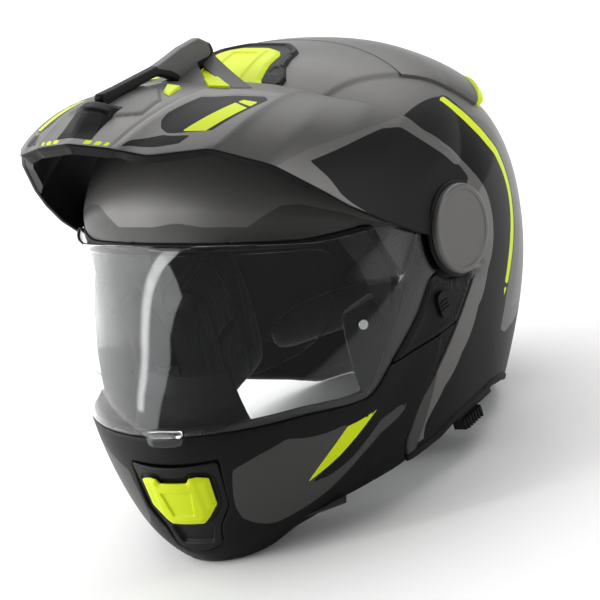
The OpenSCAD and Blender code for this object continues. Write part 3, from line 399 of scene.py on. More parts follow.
class Sheet:
    """A surface of two parameters on a lattice of triangles, cut along lines where a field is zero.

    surface(u, v) gives points in millimetres from the pivots. Every triangle has a tag for its paint."""

    def __init__(self, surface, us, vs, tag=GREY):
        self.surface = surface
        a, b = np.meshgrid(us, vs, indexing="ij")
        self.uv = np.stack([a.ravel(), b.ravel()], -1).astype(float)
        quads = quads_of(len(us), len(vs))
        self.tri = np.concatenate([quads[:, [0, 1, 2]], quads[:, [0, 2, 3]]])
        self.tag = np.full(len(self.tri), tag)
        self.step = (NUDGE * (us[1] - us[0]), NUDGE * (vs[1] - vs[0]))

    def points(self):
        """The surface's points at the lattice's parameters."""
        return self.surface(self.uv[:, 0], self.uv[:, 1])

    def normals(self):
        """Cross product of the surface's two slopes, found by small steps either way."""
        u, v = self.uv.T
        du, dv = self.step
        a = self.surface(u + du, v) - self.surface(u - du, v)
        b = self.surface(u, v + dv) - self.surface(u, v - dv)
        return unit(np.cross(a, b))

    def cut(self, field):
        """Split the triangles that the line field = 0 crosses. A new point divides its edge as the two values
        do. Gives for each triangle whether it lies where the field is positive."""
        f = field(self.points(), self.uv)
        up = f > 0
        n = up[self.tri].sum(1)
        mixed = (n == 1) | (n == 2)
        tri, tag = self.tri[mixed], self.tag[mixed]
        odd = n[mixed] == 1
        lone = np.where(odd, up[tri].argmax(1), (~up[tri]).argmax(1))
        rows = np.arange(len(tri))
        a, b, c = (tri[rows, (lone + k) % 3] for k in range(3))
        ends = np.sort(np.concatenate([np.stack([a, b], 1), np.stack([a, c], 1)]), 1)
        ends, where = np.unique(ends, axis=0, return_inverse=True)
        fa, fb = f[ends[:, 0]], f[ends[:, 1]]
        s = np.clip(fa / np.where(fa == fb, 1, fa - fb), CUT_MARGIN, 1 - CUT_MARGIN)[:, None]
        new = self.uv[ends[:, 0]] * (1 - s) + self.uv[ends[:, 1]] * s
        where = where.reshape(-1) + len(self.uv)
        ab, ac = where[:len(tri)], where[len(tri):]
        self.uv = np.concatenate([self.uv, new])
        self.tri = np.concatenate([self.tri[~mixed], np.stack([a, ab, ac], 1), np.stack([ab, b, c], 1),
                                   np.stack([ab, c, ac], 1)])
        self.tag = np.concatenate([self.tag[~mixed], tag, tag, tag])
        return np.concatenate([n[~mixed] == 3, odd, ~odd, ~odd])

    def keep(self, *fields):
        """Cut away what lies outside each field in turn."""
        for field in fields:
            side = self.cut(field)
            self.tri, self.tag = self.tri[side], self.tag[side]

    def drop(self, *fields):
        """Cut away what lies inside each field in turn."""
        self.keep(*map(outside, fields))

    def paint(self, field, tag):
        """Give a tag to what lies inside a field."""
        side = self.cut(field)
        self.tag[side] = tag

    def welded(self):
        """Points that lie together become one, and points that no triangle uses go."""
        p = self.points()
        used = np.zeros(len(p), bool)
        used[self.tri.ravel()] = True
        key = np.round(p / WELD).astype(np.int64)
        key[~used] = 0
        _, first, where = np.unique(key, axis=0, return_index=True, return_inverse=True)
        tri = where.reshape(-1)[self.tri]
        good = (tri[:, 0] != tri[:, 1]) & (tri[:, 1] != tri[:, 2]) & (tri[:, 2] != tri[:, 0])
        self.uv, self.tri, self.tag = self.uv[first], tri[good], self.tag[good]
        used = np.unique(self.tri)
        back = np.zeros(len(self.uv), int)
        back[used] = np.arange(len(used))
        self.uv, self.tri = self.uv[used], back[self.tri]


def walled(sheet, thick, edge, toward=(0, 0, 0), inner_tag=None, curl=2):
    """A closed wall from a sheet: the sheet itself, the sheet let down by thick, and round the cut a rim
    whose section is two quarter circles of radius edge. The sheet's cut lies edge inside the finished
    outline, and toward is a point on the wall's inner side. Gives points, faces and their tags."""
    sheet.welded()
    p, n = sheet.points(), sheet.normals()
    tri, tag = sheet.tri, sheet.tag
    if ((p - np.asarray(toward, float)) * n).sum(-1).mean() < 0:
        n = -n
    face = np.cross(p[tri[:, 1]] - p[tri[:, 0]], p[tri[:, 2]] - p[tri[:, 0]])
    if (face * n[tri[:, 0]]).sum(-1).sum() < 0:
        tri = tri[:, ::-1]
    edges = np.concatenate([tri[:, [0, 1]], tri[:, [1, 2]], tri[:, [2, 0]]])
    owner = np.tile(np.arange(len(tri)), 3)
    key = edges[:, 0].astype(np.int64) * len(p) + edges[:, 1]
    twin = edges[:, 1].astype(np.int64) * len(p) + edges[:, 0]
    free = ~np.isin(key, twin)
    a, b = edges[free].T
    edge_tag = tag[owner[free]]
    out = np.zeros_like(p)
    side = unit(np.cross(p[b] - p[a], n[a] + n[b]))
    np.add.at(out, a, side)
    np.add.at(out, b, side)
    rim = np.unique(np.concatenate([a, b]))
    place = np.zeros(len(p), int)
    place[rim] = np.arange(len(rim))
    r = min(edge, thick / 2)
    q, m, away = p[rim], n[rim], unit(out[rim])
    rings = [q + away * r * math.sin(x) - m * r * (1 - math.cos(x))
             for x in np.linspace(0, math.pi / 2, curl + 1)[1:]]
    rings += [q + away * r * math.cos(x) - m * (thick - r + r * math.sin(x))
              for x in np.linspace(0, math.pi / 2, curl + 1)[:-1]]
    faces = [(tri, tag), (tri[:, ::-1] + len(p), tag if inner_tag is None else np.full(len(tri), inner_tag))]
    starts = 2 * len(p) + len(rim) * np.arange(len(rings))
    loops = [(a, b)] + [(k + place[a], k + place[b]) for k in starts] + [(a + len(p), b + len(p))]
    for (a0, b0), (a1, b1) in zip(loops[:-1], loops[1:]):
        faces.append((np.stack([b0, a0, a1, b1], 1), edge_tag))
    return np.concatenate([p, p - n * thick] + rings), faces


def slab(top, low, tag=GREY):
    """A closed body between two grids of points of the same size, with a wall round their edges."""
    nu, nv = top.shape[:2]
    n = nu * nv
    up = quads_of(nu, nv)
    ring = np.concatenate([np.arange(nv - 1), nv - 1 + nv * np.arange(nu - 1), n - 1 - np.arange(nv - 1),
                           nv * (nu - 1) - nv * np.arange(nu - 1)])
    following = np.roll(ring, -1)
    wall = np.stack([ring, following, following + n, ring + n], 1)
    points = np.concatenate([top.reshape(-1, 3), low.reshape(-1, 3)])
    return points, [tagged(faces, tag) for faces in (up, up[:, ::-1] + n, wall)]


def turned(profile, tag, steps=96):
    """A body turned round the pivot axis from a closed profile of distances from it and levels along X."""
    rho, x = np.asarray(profile, float).T
    angle = np.linspace(0, 2 * np.pi, steps, endpoint=False)
    points = np.stack([np.repeat(x, steps), np.outer(rho, np.cos(angle)).ravel(),
                       np.outer(rho, np.sin(angle)).ravel()], -1)
    return points, [tagged(quads_of(len(rho), steps, True, True)[:, [0, 3, 2, 1]], tag)]


def stacked(rings):
    """A closed body through rings of points of the same count, with a fan over the first and the last."""
    r = np.asarray(rings, float)
    n, m = r.shape[:2]
    k = np.arange(m)
    points = np.concatenate([r.reshape(-1, 3), [r[0].mean(0)], [r[-1].mean(0)]])
    low = np.stack([(k + 1) % m, k, np.full(m, n * m)], 1)
    top = np.stack([k + (n - 1) * m, (k + 1) % m + (n - 1) * m, np.full(m, n * m + 1)], 1)
    side = quads_of(n, m, loop_v=True)[:, [0, 3, 2, 1]]
    return points, [tagged(faces, GREY) for faces in (side, low, top)]


def joined(*bodies):
    """Several bodies as one, with their point numbers carried on."""
    points, faces, base = [], [], 0
    for p, f in bodies:
        points.append(p)
        faces += [(q + base, t) for q, t in f]
        base += len(p)
    return np.concatenate(points), faces


def mirrored(body):
    """The same body on the helmet's other side, with its faces turned to point outwards again."""
    p, f = body
    return p * [-1, 1, 1], [(q[:, ::-1], t) for q, t in f]


def volume(body):
    """Sum over the faces of a sixth of the triple product of their corners. It is positive where they point
    out."""
    p, faces = body
    total = 0.0
    for q, _ in faces:
        for k in range(1, q.shape[1] - 1):
            total += (p[q[:, 0]] * np.cross(p[q[:, k]], p[q[:, k + 1]])).sum() / 6
    return total


def facing_out(body):
    """The same body, with its faces turned round where its volume comes out negative."""
    if volume(body) < 0:
        return body[0], [(q[:, ::-1], t) for q, t in body[1]]
    return body


def piece(name, body, materials, rides, node, sharp=None):
    """A mesh object in metres from a body in millimetres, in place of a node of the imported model. Edges that
    turn by more than sharp degrees stay crisp."""
    points, faces = facing_out(body)
    corners = np.concatenate([q.ravel() for q, _ in faces])
    sizes = np.concatenate([np.full(len(q), q.shape[1]) for q, _ in faces])
    tags = np.concatenate([t for _, t in faces])
    mesh = bpy.data.meshes.new(name)
    mesh.vertices.add(len(points))
    mesh.vertices.foreach_set("co", ((points + PIVOT) * MM).astype(np.float32).ravel())
    mesh.loops.add(len(corners))
    mesh.loops.foreach_set("vertex_index", corners.astype(np.int32))
    mesh.polygons.add(len(sizes))
    mesh.polygons.foreach_set("loop_start", np.concatenate([[0], np.cumsum(sizes)[:-1]]).astype(np.int32))
    for m in materials:
        mesh.materials.append(m)
    mesh.polygons.foreach_set("material_index", np.clip(tags, 0, len(materials) - 1).astype(np.int32))
    mesh.polygons.foreach_set("use_smooth", np.full(len(sizes), True))
    mesh.update(calc_edges=True)
    mesh.validate()
    if sharp is not None:
        mesh.set_sharp_from_angle(angle=math.radians(sharp))
    obj = bpy.data.objects.new(name, mesh)
    bpy.context.scene.collection.objects.link(obj)
    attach(obj, rides)
    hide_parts(node)
    return obj


# Finishes

class Nodes:
    """A new material's nodes. Inputs come as a value to set or as the socket to link."""

    def __init__(self, name):
        self.material = bpy.data.materials.new(name)
        self.material.use_nodes = True
        self.tree = self.material.node_tree
        self.shader = self.tree.nodes["Principled BSDF"]
        self.place = self.add("TexCoord", {}).outputs["Object"]

    def fill(self, node, inputs):
        """Set or link each named input of a node."""
        for key, value in inputs.items():
            if isinstance(value, bpy.types.NodeSocket):
                self.tree.links.new(value, node.inputs[key])
            else:
                node.inputs[key].default_value = value

    def add(self, kind, inputs, **settings):
        """A node of a kind, with its settings made before its inputs."""
        node = self.tree.nodes.new("ShaderNode" + kind)
        for key, value in settings.items():
            setattr(node, key, value)
        self.fill(node, inputs)
        return node

    def noise(self, scale, detail=2.0, vector=None):
        """Soft noise between 0 and 1 over the piece's own coordinates."""
        node = self.add("TexNoise", {"Vector": vector or self.place, "Scale": scale, "Detail": detail})
        return node.outputs["Fac"]

    def span(self, factor, low, high):
        """Number that runs from low to high as the factor runs from 0 to 1."""
        return self.add("MapRange", {"Value": factor, "To Min": low, "To Max": high}).outputs["Result"]

    def tint(self, factor, colour, low, high):
        """Colour that runs from low to high times itself as the factor runs from 0 to 1."""
        dark, light = ((*np.clip(np.array(colour[:3], float) * k, 0, 1), 1) for k in (low, high))
        return self.add("Mix", {"Factor": factor, "A": dark, "B": light}, data_type="RGBA").outputs["Result"]

    def bump(self, height, strength, distance):
        """Shading of a height, distance deep in metres at its full strength."""
        node = self.add("Bump", {"Height": height, "Strength": strength, "Distance": distance})
        self.fill(self.shader, {"Normal": node.outputs["Normal"]})


def finish(name, colour, rough=0.5, metal=0.0, grain=0.0, grain_scale=900.0, shade=0.05, shade_scale=60.0,
           cells=False, **sockets):
    """A surface whose colour and gloss drift a little with a large noise, and whose bump is a fine grain, of
    noise or of cells."""
    if name in bpy.data.materials:
        return bpy.data.materials[name]
    nodes = Nodes(name)
    drift = nodes.noise(shade_scale, 5.0)
    nodes.fill(nodes.shader, {
        "Base Color": nodes.tint(drift, colour, 1 - shade, 1 + shade),
        "Roughness": nodes.span(drift, max(rough - ROUGH_DRIFT, 0.02), min(rough + ROUGH_DRIFT, 1.0)),
        "Metallic": metal,
    })
    nodes.fill(nodes.shader, {key.replace("_", " "): value for key, value in sockets.items()})
    if cells:
        spots = nodes.add("TexVoronoi", {"Vector": nodes.place, "Scale": grain_scale})
        nodes.bump(spots.outputs["Distance"], grain, 0.0004)
    elif grain:
        nodes.bump(nodes.noise(grain_scale, 3.0), grain, 0.0004)
    return nodes.material


def woven(name, colour, thread, rough=0.85, depth=0.6, sheen=0.4):
    """Cloth: the product of two crossed waves, a thread apart along X and Z, tints it and lifts it, with a
    slow noise added to the tint."""
    if name in bpy.data.materials:
        return bpy.data.materials[name]
    nodes = Nodes(name)
    scale = 1.0 / thread / WAVES_PER_SCALE
    inputs = {"Vector": nodes.place, "Scale": scale, "Distortion": 0.6, "Detail": 1.0}
    waves = [nodes.add("TexWave", inputs, wave_type="BANDS", bands_direction=axis).outputs["Fac"]
             for axis in ("X", "Z")]
    weave = nodes.add("Math", {0: waves[0], 1: waves[1]}, operation="MULTIPLY").outputs["Value"]
    mixed = nodes.add("Math", {0: weave, 1: 0.5, 2: nodes.noise(45.0)}, operation="MULTIPLY_ADD")
    nodes.fill(nodes.shader, {
        "Base Color": nodes.tint(mixed.outputs["Value"], colour, 0.55, 1.45),
        "Roughness": rough,
        "Sheen Weight": sheen,
        "Sheen Roughness": 0.5,
    })
    nodes.bump(weave, depth, 0.0005)
    return nodes.material


def see_through(name, colour, rough=0.0, ior=1.45):
    """Clear moulded plastic: light passes through, and faint wipe marks vary its gloss by a noise drawn out
    across the piece."""
    if name in bpy.data.materials:
        return bpy.data.materials[name]
    nodes = Nodes(name)
    drawn_out = nodes.add("Mapping", {"Vector": nodes.place, "Scale": (1.0, 1.0, 9.0)}).outputs["Vector"]
    nodes.fill(nodes.shader, {
        "Roughness": nodes.span(nodes.noise(30.0, vector=drawn_out), rough, rough + 0.02),
        "Base Color": (*colour, 1),
        "IOR": ior,
        "Transmission Weight": 1.0,
    })
    return nodes.material


def paints(look):
    """The shell's paints, in the order of the tags. The grey times 1.4 is a painted highlight, and the grey
    times 0.74 is painted shade that also gives the rear strip its own grey.
    """
    g, k, n = (np.array(c[:3]) for c in (look.grey, look.black, look.neon))
    common = dict(grain=0.06, grain_scale=2600.0, shade=0.05, shade_scale=14.0)
    return [
        finish("titanium_matt_paint", g, 0.42, 0.3, **common),
        finish("black_matt_paint", k, 0.42, 0.0, Specular_IOR_Level=0.1, **common),
        finish("vivid_yellow_paint", n, 0.42, 0.0, grain=0.04, grain_scale=2600.0, shade=0.02,
               shade_scale=14.0, Specular_IOR_Level=0.15),
        # Painted highlight: the titanium grey made lighter where the peak's front facet and its crease face
        # the light
        finish("light_titanium_paint", g * 1.4, 0.42, 0.3, **common),
        finish("dark_titanium_paint", g * 0.5, 0.44, 0.1, Specular_IOR_Level=0.2, **common),
        # Painted shade: the titanium grey made darker for the peak's turned-away flank, its hood and the fin's
        # sides. It is also the rear strip's own grey
        finish("shaded_titanium_paint", g * 0.74, 0.42, 0.3, **common),
    ]


def plastic(look):
    """Black moulded plastic with a fine grain."""
    return finish("black_moulded_plastic", np.array(look.black[:3]) * 1.1, 0.45, grain=0.2,
                  grain_scale=1800.0, shade=0.08, Specular_IOR_Level=0.15)


def vivid(look):
    """Vivid yellow moulded plastic."""
    return finish("vivid_yellow_plastic", look.neon, 0.38, grain=0.1, grain_scale=1600.0, shade=0.02,
                  Specular_IOR_Level=0.2)


def soft_black():
    """Black rubber of the seals and the lever."""
    return finish("black_rubber", (0.008, 0.008, 0.008), 0.62, grain=0.2, grain_scale=1400.0, shade=0.1,
                  Specular_IOR_Level=0.15)


class HelmetLook(bpy.types.PropertyGroup):
    """Sizes and colours that a user would change."""
    grey: bpy.props.FloatVectorProperty(
        name="Titanium grey", description="Base colour of the grey paint", subtype="COLOR", size=3, min=0,
        max=1, default=(0.104, 0.1015, 0.0985))
    black: bpy.props.FloatVectorProperty(
        name="Black", description="Base colour of the black paint and plastic", subtype="COLOR", size=3,
        min=0, max=1, default=(0.0070, 0.0070, 0.0073))
    neon: bpy.props.FloatVectorProperty(
        name="Vivid yellow", description="Base colour of the yellow graphics", subtype="COLOR", size=3, min=0,
        max=1, default=(0.60, 0.72, 0.005))
    red: bpy.props.FloatVectorProperty(
        name="Release red", description="Colour of the release button and lever", subtype="COLOR", size=3,
        min=0, max=1, default=(0.30, 0.02, 0.018))
    shell_wall: bpy.props.FloatProperty(
        name="Shell wall", description="Thickness of the outer shell", default=0.004, min=0.002, max=0.006,
        unit="LENGTH")
    edge_round: bpy.props.FloatProperty(
        name="Edge radius", description="Rounding of the rigid parts' edges", default=0.0009, min=0.0002,
        max=0.002, unit="LENGTH")
    grid: bpy.props.FloatProperty(
        name="Lattice step", description="Angle between the skins' lattice lines", default=math.radians(1.2),
        min=math.radians(0.8), max=math.radians(4), subtype="ANGLE")
    light: bpy.props.FloatProperty(
        name="Light", description="Strength of the studio light", default=1.0, min=0.1, max=5.0)


def look():
    """The scene's settings."""
    return bpy.context.scene.helmet_look


def whole_skin(surface, step, tag=GREY):
    """A sheet over a whole skin. Its seam runs straight ahead from the pivots, through the eye port."""
    turns, rows = round(360 / step), round(2 * POLE / step)
    return Sheet(surface, np.linspace(0, 360, turns + 1), np.linspace(-POLE, POLE, rows + 1), tag)


def front_skin(surface, last, step, tag=GREY):
    """A sheet over a skin's front, from under the chin up to the angle last."""
    return Sheet(surface, np.arange(TURN_START, last, step), np.linspace(-POLE, POLE, int(178 / step)), tag)


class HELMET_OT_shell(bpy.types.Operator):
    """Outer shell with its paint, the ridge at the back, the exhaust vent and the rim trim"""
    bl_idname = "helmet.shell"
    bl_label = "Shell"

    def execute(self, context):
        lk = look()
        edge, wall, step = lk.edge_round / MM, lk.shell_wall / MM, math.degrees(lk.grid)
        foot = [[185, -FAR], [-185, -FAR]]
        front = rounded(FRONT_OUTLINE, FRONT_CORNER)
        ahead = SEAM + [[-73, -FAR], [-FAR, -FAR], [-FAR, -36]]
        below = [[y, z + 4] for y, z in RIM] + foot

        def relief(phi, t):
            """Skin lifted by 1.5 mm between the crown's two creases, and a fine groove along the brow."""
            f = wrapped(phi)
            plateau = 1.5 * ramp((along(CROWN_STEP, f) - np.abs(t)) / 2.2) * ramp((f - 66) / 14)
            plateau = plateau * ramp((CROWN_END - f) / 8)
            off = (f - along(BROW_GROOVE, np.abs(t))) / 0.5
            return plateau - 0.5 * np.exp(-off ** 2) * ramp((60 - np.abs(f)) / 5)

        main = whole_skin(full_shell(relief), step)
        main.drop(seen_from_side(front, edge), seen_from_side(below, edge), seen_from_side(ahead, edge))
        for outline, tag in (
                (SWOOSH_FRONT + [[297, -4]] + GREY_TIP[::-1] + SWOOSH_REAR[::-1], BLACK),
                # The rear strip between the black and the vivid yellow is a real grey stripe, painted in the
                # grey let down to 0.74
                (SWOOSH_REAR[3:] + GREY_TIP[1:4] + [[222, 44]] + LIGHT_REAR[::-1], GREY_STRIPE_AND_PAINTED_SHADE),
                (NEON_FRONT + NEON_REAR[::-1], NEON), (NEON_TIP, NEON)):
            main.paint(on_the_skin(outline, GRAPHICS_START), tag)
        main.paint(both(lambda p, uv: along(TRIM_LINE, uv[:, 0] % 360) - np.abs(uv[:, 1]),
                        lambda p, uv: uv[:, 0] % 360 - TRIM_FROM,
                        lambda p, uv: TRIM_TO - uv[:, 0] % 360), BLACK)
        main.paint(both(lambda p, uv: along(BROW_LINE, np.abs(uv[:, 1])) - wrapped(uv[:, 0]),
                        lambda p, uv: wrapped(uv[:, 0]) + 60), DARK)
        under = Sheet(shell_skin(-0.25), np.arange(-80, 41, 2.0), np.linspace(-89, 89, 90), BLACK)
        under.drop(seen_from_side(front, edge), seen_from_side(below, edge))
        under.keep(seen_from_side(ahead, 3.0), round_the_pivot(118))
        body = joined(walled(main, wall, edge, inner_tag=BLACK),
                      walled(under, wall - 0.6, edge, inner_tag=BLACK))
        piece("shell_skin", body, paints(lk), "shell", "outer_shell")

        trim = whole_skin(full_shell(1.0), 2 * step, BLACK)
        trim.keep(seen_from_side(below, -1.0))
        trim.drop(seen_from_side(RIM + foot, 1.0), ahead_of(-72.5))
        piece("rim_band", walled(trim, 6.4, 1.6, curl=4), [soft_black()], "shell", "rim_trim")
        self.rear(lk)
        return {"FINISHED"}

    def rear(self, lk):
        """The ridge swells to the back by a power of u and falls to its sides, then steps down with the
        crown's plateau. The vent behind it is a bar whose height steps up near both ends."""
        u, v = lattice((0, 1, 40), (-1, 1, 70))
        phi, t = RIDGE_FROM + RIDGE_TURN * u, v * (38 + 6 * u)
        fade = np.maximum(1 - np.abs(v) ** 5, 0) ** 0.6
        lift = 0.35 + 5.65 * u ** 1.3 * fade + 1.5 * ramp((CROWN_END - RIDGE_FROM - RIDGE_TURN * u) / 8)
        ridge = slab(shell_skin(lift)(phi, t), shell_skin(0.1)(phi, t))
        piece("rear_spoiler", ridge, paints(lk), "shell", "rear_ridge", sharp=40)

        u, v = lattice((0, 1, 6), (-1, 1, 60))
        phi, t = RIDGE_FROM + RIDGE_TURN + 0.15 + 3.4 * u, v * 42
        high = (5.0 + 3.6 * ramp((np.abs(v) - 0.55) / 0.25)) * np.maximum(1 - np.abs(v) ** 8, 0) ** 0.5
        vent = slab(shell_skin(high + 0.6 - 1.2 * u ** 2)(phi, t), shell_skin(0.2)(phi, t))
        piece("rear_exhaust", vent, [vivid(lk)], "shell", "rear_vent", sharp=40)


class HELMET_OT_eye_port(bpy.types.Operator):
    """Rubber seal round the eye port"""
    bl_idname = "helmet.eye_port"
    bl_label = "Eye port seal"

    def execute(self, context):
        step, edge, width = math.degrees(look().grid), 0.8, 4
        front = rounded(FRONT_OUTLINE, FRONT_CORNER)
        seal = Sheet(shell_skin(0.8), np.arange(-20, 40.1, step), np.linspace(-86, 86, int(172 / step)))
        seal.keep(seen_from_side(front, -edge))
        seal.drop(seen_from_side(front, edge - width))
        seal.keep(lambda p, uv: p[:, 2] + 39, ahead_of(-33.0))
        piece("eye_port_seal", walled(seal, 5.6, edge, curl=3), [soft_black()], "shell", "eye_port_gasket")
        return {"FINISHED"}


def facing_point(a, b, h):
    """Point of the chin's front: a across, b along the tilted face and h out of it, from the pivots."""
    c, s = math.cos(FACE_TILT), math.sin(FACE_TILT)
    y, z = (b - FACE_Z) * c - h * s, (b - FACE_Z) * s + h * c
    return np.stack([a, y + FACE_Y, z + FACE_Z], -1)


def facing_flat(p):
    """The other way: a and b of points, as seen square to the tilted face."""
    y, z = p[:, 1] - FACE_Y, p[:, 2] - FACE_Z
    return p[:, 0], y * math.cos(FACE_TILT) + z * math.sin(FACE_TILT) + FACE_Z


def bowed(d):
    """The chin's front as a cylinder whose crest stands 5 mm out, with its radius grown by d."""
    def at(a, b):
        out = np.sqrt(np.maximum((FACE_RADIUS + given(d, a, b)) ** 2 - a ** 2, 1))
        return facing_point(a, b, 5 - FACE_RADIUS + out)
    return at


class HELMET_OT_chin_bar(bpy.types.Operator):
    """Chin bar with its paint, the side plates and the seal under the face shield"""
    bl_idname = "helmet.chin_bar"
    bl_label = "Chin bar"

    def execute(self, context):
        lk = look()
        edge, step = lk.edge_round / MM, math.degrees(lk.grid)
        region = either(seen_from_side(rounded(CHIN_OUTLINE, 3)), round_the_pivot(28))
        covered = either(seen_from_side(rounded(SHIELD_OUTLINE, 3), 0.4), seen_from_side(PLATE_OUTLINE, 0.4),
                         round_the_pivot(PEAK_DISC + 1.5))

        def vent(p, uv):
            """Field of the vent's outline as seen square to the face, at the chin's front only."""
            return np.where(p[:, 1] < -100, outline_distance(VENT_OUTLINE, *facing_flat(p)), -50.0)

        def relief(phi, t):
            """The skin steps in by 1.1 mm below the line along the chin's foot."""
            return -1.1 * ramp((along(CHIN_LINE, np.abs(t)) - wrapped(phi)) / 1.1)

        outer = front_skin(outer_skin(relief), 60, step, BLACK)
        outer.keep(grown(region, -PART_GAP - edge))
        outer.drop(grown(vent, 0.25 + edge), grown(covered, edge))
        for outline, tag in ((CHIN_PANEL, DARK), (CHIN_WEDGE, BLACK), (CHIN_SLASH, NEON)):
            outer.paint(on_the_skin(outline), tag)
        arms = front_skin(outer_skin(ARM_OUT - HALF_W), 100, step, BLACK)
        arms.keep(grown(region, -PART_GAP - 0.5))
        arms.drop(grown(vent, 0.7))
        arms.keep(grown(covered, 2.5))
        arms.drop(round_the_pivot(PIVOT_BORE))
        body = joined(walled(outer, 4.0, edge, inner_tag=BLACK), walled(arms, 1.2, 0.5, inner_tag=BLACK))
        piece("chin_skin", body, paints(lk), "chin_bar", "chin_bar")
        self.plates(lk, region)

        edge = 0.8
        seal = Sheet(outer_skin(SHIELD_IN - HALF_W - 0.4), np.arange(-38, -10, 0.8),
                     np.linspace(-76, 76, 153))
        seal.keep(grown(region, 4.5 - edge))
        seal.drop(grown(region, edge - 0.2))
        seal.keep(ahead_of(-96.8))
        piece("chin_seal", walled(seal, 3.4, edge, curl=3), [soft_black()], "chin_bar", "chin_gasket")
        return {"FINISHED"}

    def plates(self, lk, region):
        """Side plates on the outer skin, chamfered along their edges by a ramp of the distance from the edge,
        with a fine bead further in."""
        inside = both(seen_from_side(rounded(PLATE_OUTLINE, 2)), outside(round_the_pivot(PEAK_DISC + 0.9)),
                      grown(region, -1.2))

        def raised(phi, t):
            """Outer skin with the chamfer and the bead."""
            d = inside(outer_skin(0.2)(phi, t), None)
            chamfer, bead = 0.9 * (1 - ramp((d - 0.8) / 1.4)), 0.5 * np.exp(-((d - 4.2) / 0.8) ** 2)
            return outer_skin(0.2 - chamfer + bead)(phi, t)

        for side, first, last in (("left", 52, 88.5), ("right", -88.5, -52)):
            plate = Sheet(raised, np.arange(-112, -10, 0.8), np.linspace(first, last, 60), BLACK)
            plate.keep(grown(inside, -0.7))
            piece("side_cover_" + side, walled(plate, 2.2, 0.7), [paints(lk)[BLACK]], "chin_bar",
                  "side_plate_" + side)


class HELMET_OT_chin_vent(bpy.types.Operator):
    """Chin vent: the bezel with its lower mouth and the sliding cover"""
    bl_idname = "helmet.chin_vent"
    bl_label = "Chin vent"

    def execute(self, context):
        lk = look()
        outline, slider = rounded(VENT_OUTLINE, 3), rounded(SLIDER_OUTLINE, 1.2)
        track = rounded(SLIDER_OUTLINE, 4)
        mouth = rounded([[-15, -113], [15, -113], [11, -124.5], [-11, -124.5]], 2)
        hollow = rounded([[-12, -86], [12, -86], [8, -104], [-8, -104]], 1.5)
        way = [[-12, -81], [12, -81], [12, -108], [-12, -108]]

        def bezel_out(a, b):
            """Face let down 0.9 mm where the slider runs and 2.6 mm more in the mouth, with a chamfer."""
            return (-0.1 - 0.9 * ramp((outline_distance(track, a, b) + 3) / 2)
                    - 2.6 * ramp((outline_distance(mouth, a, b) + 1) / 1.6)
                    - 0.5 * (1 - ramp(outline_distance(outline, a, b) / 1.5)))

        def slider_out(a, b):
            """Cover chamfered to its edge, with a trapezoid hollow in the middle and lower flanks."""
            return (3.4 - 1.1 * (1 - ramp((outline_distance(slider, a, b) - 0.3) / 3.2))
                    - 1.3 * ramp(outline_distance(hollow, a, b) / 1.4) - 0.5 * ramp((np.abs(a) - 14) / 4))

        bezel = Sheet(bowed(bezel_out), np.linspace(-33, 33, 111), np.linspace(-132, -69, 107), BLACK)
        bezel.keep(on_the_lattice(outline, -0.9))
        bezel.drop(on_the_lattice(way, 0.5))
        piece("chin_vent_frame", walled(bezel, 3.8, 0.9), [plastic(lk)], "chin_bar", "chin_vent_bezel")
        cover = Sheet(bowed(slider_out), np.linspace(-26, 26, 121), np.linspace(-111, -76, 83), NEON)
        cover.keep(on_the_lattice(slider, -0.8))
        top, low = (bowed(d)(*lattice((-12, 12, 9), (-97, -83, 6))) for d in (0.6, -4.6))
        body = joined(walled(cover, 1.8, 0.8, toward=(0, -60, -94)), facing_out(slab(top, low)))
        piece("chin_vent_cover", body, [vivid(lk)], "chin_vent_slider", "chin_vent_slider",
              sharp=50)
        return {"FINISHED"}


class HELMET_OT_face_shield(bpy.types.Operator):
    """Clear face shield with its thumb tab, and the anti-fog insert behind it"""
    bl_idname = "helmet.face_shield"
    bl_label = "Face shield"

    def execute(self, context):
        step, edge = math.degrees(look().grid), 0.8
        region = either(seen_from_side(rounded(SHIELD_OUTLINE, 4)), round_the_pivot(20))
        shield = front_skin(outer_skin(SHIELD_OUT - HALF_W), 100, step)
        shield.keep(grown(region, -edge))
        shield.drop(round_the_pivot(15.15 + edge))
        clear = see_through("clear_polycarbonate", (0.96, 0.97, 0.975), ior=1.31)
        body = joined(walled(shield, SHIELD_OUT - SHIELD_IN, edge, curl=3), self.tab())
        piece("clear_shield", body, [clear], "face_shield", "face_shield")

        pane = rounded([[-10, -50], [20, -50], [20, 50], [-10, 50]], 9)
        insert = Sheet(outer_skin(SHIELD_IN - HALF_W - 0.35), np.linspace(-10.5, 20.5, 40),
                       np.linspace(-51, 51, 120))
        insert.keep(lambda p, uv: outline_distance(pane, uv[:, 0], uv[:, 1]) * MM_PER_DEGREE - 0.3)
        film = see_through("clear_insert_film", (0.95, 0.965, 0.97), ior=1.12)
        piece("fog_insert", walled(insert, 0.8, 0.3), [film], "face_shield", "antifog_insert")
        return {"FINISHED"}

    def tab(self):
        """A hooked section carried across the middle. It shrinks to the ends by a sixth power and bends back
        by the square of x."""
        y, z = -171.2, -50
        hook = rounded([[y, -48], [-174, -48.5], [-176.3, -52], [-176.3, -57.4], [-174.6, -57.6],
                        [-174.2, -52.6], [y, -51.8]], 0.9, 3)
        x = np.linspace(-13, 13, 41)
        size = np.sqrt(np.maximum(1 - (np.abs(x) / 13.2) ** 6, 0))
        rings = [np.stack([np.full(len(hook), a), y + (hook[:, 0] - y) * (0.25 + 0.75 * s) + a * a / 330,
                           z + (hook[:, 1] - z) * (0.3 + 0.7 * s)], -1) for a, s in zip(x, size)]
        return facing_out(stacked(rings))


def averaged(values, u, spread=0.11):
    """Straight lines through a list, softened at its corners by the mean of five places within spread."""
    v = np.asarray(values, float)
    k = np.arange(len(v))
    places = [np.abs(u + s) for s in spread * np.linspace(-1, 1, 5)]
    columns = [np.mean([np.interp(q, k, c) for q in places], axis=0) for c in v.reshape(len(v), -1).T]
    return columns[0] if v.ndim == 1 else np.stack(columns, -1)


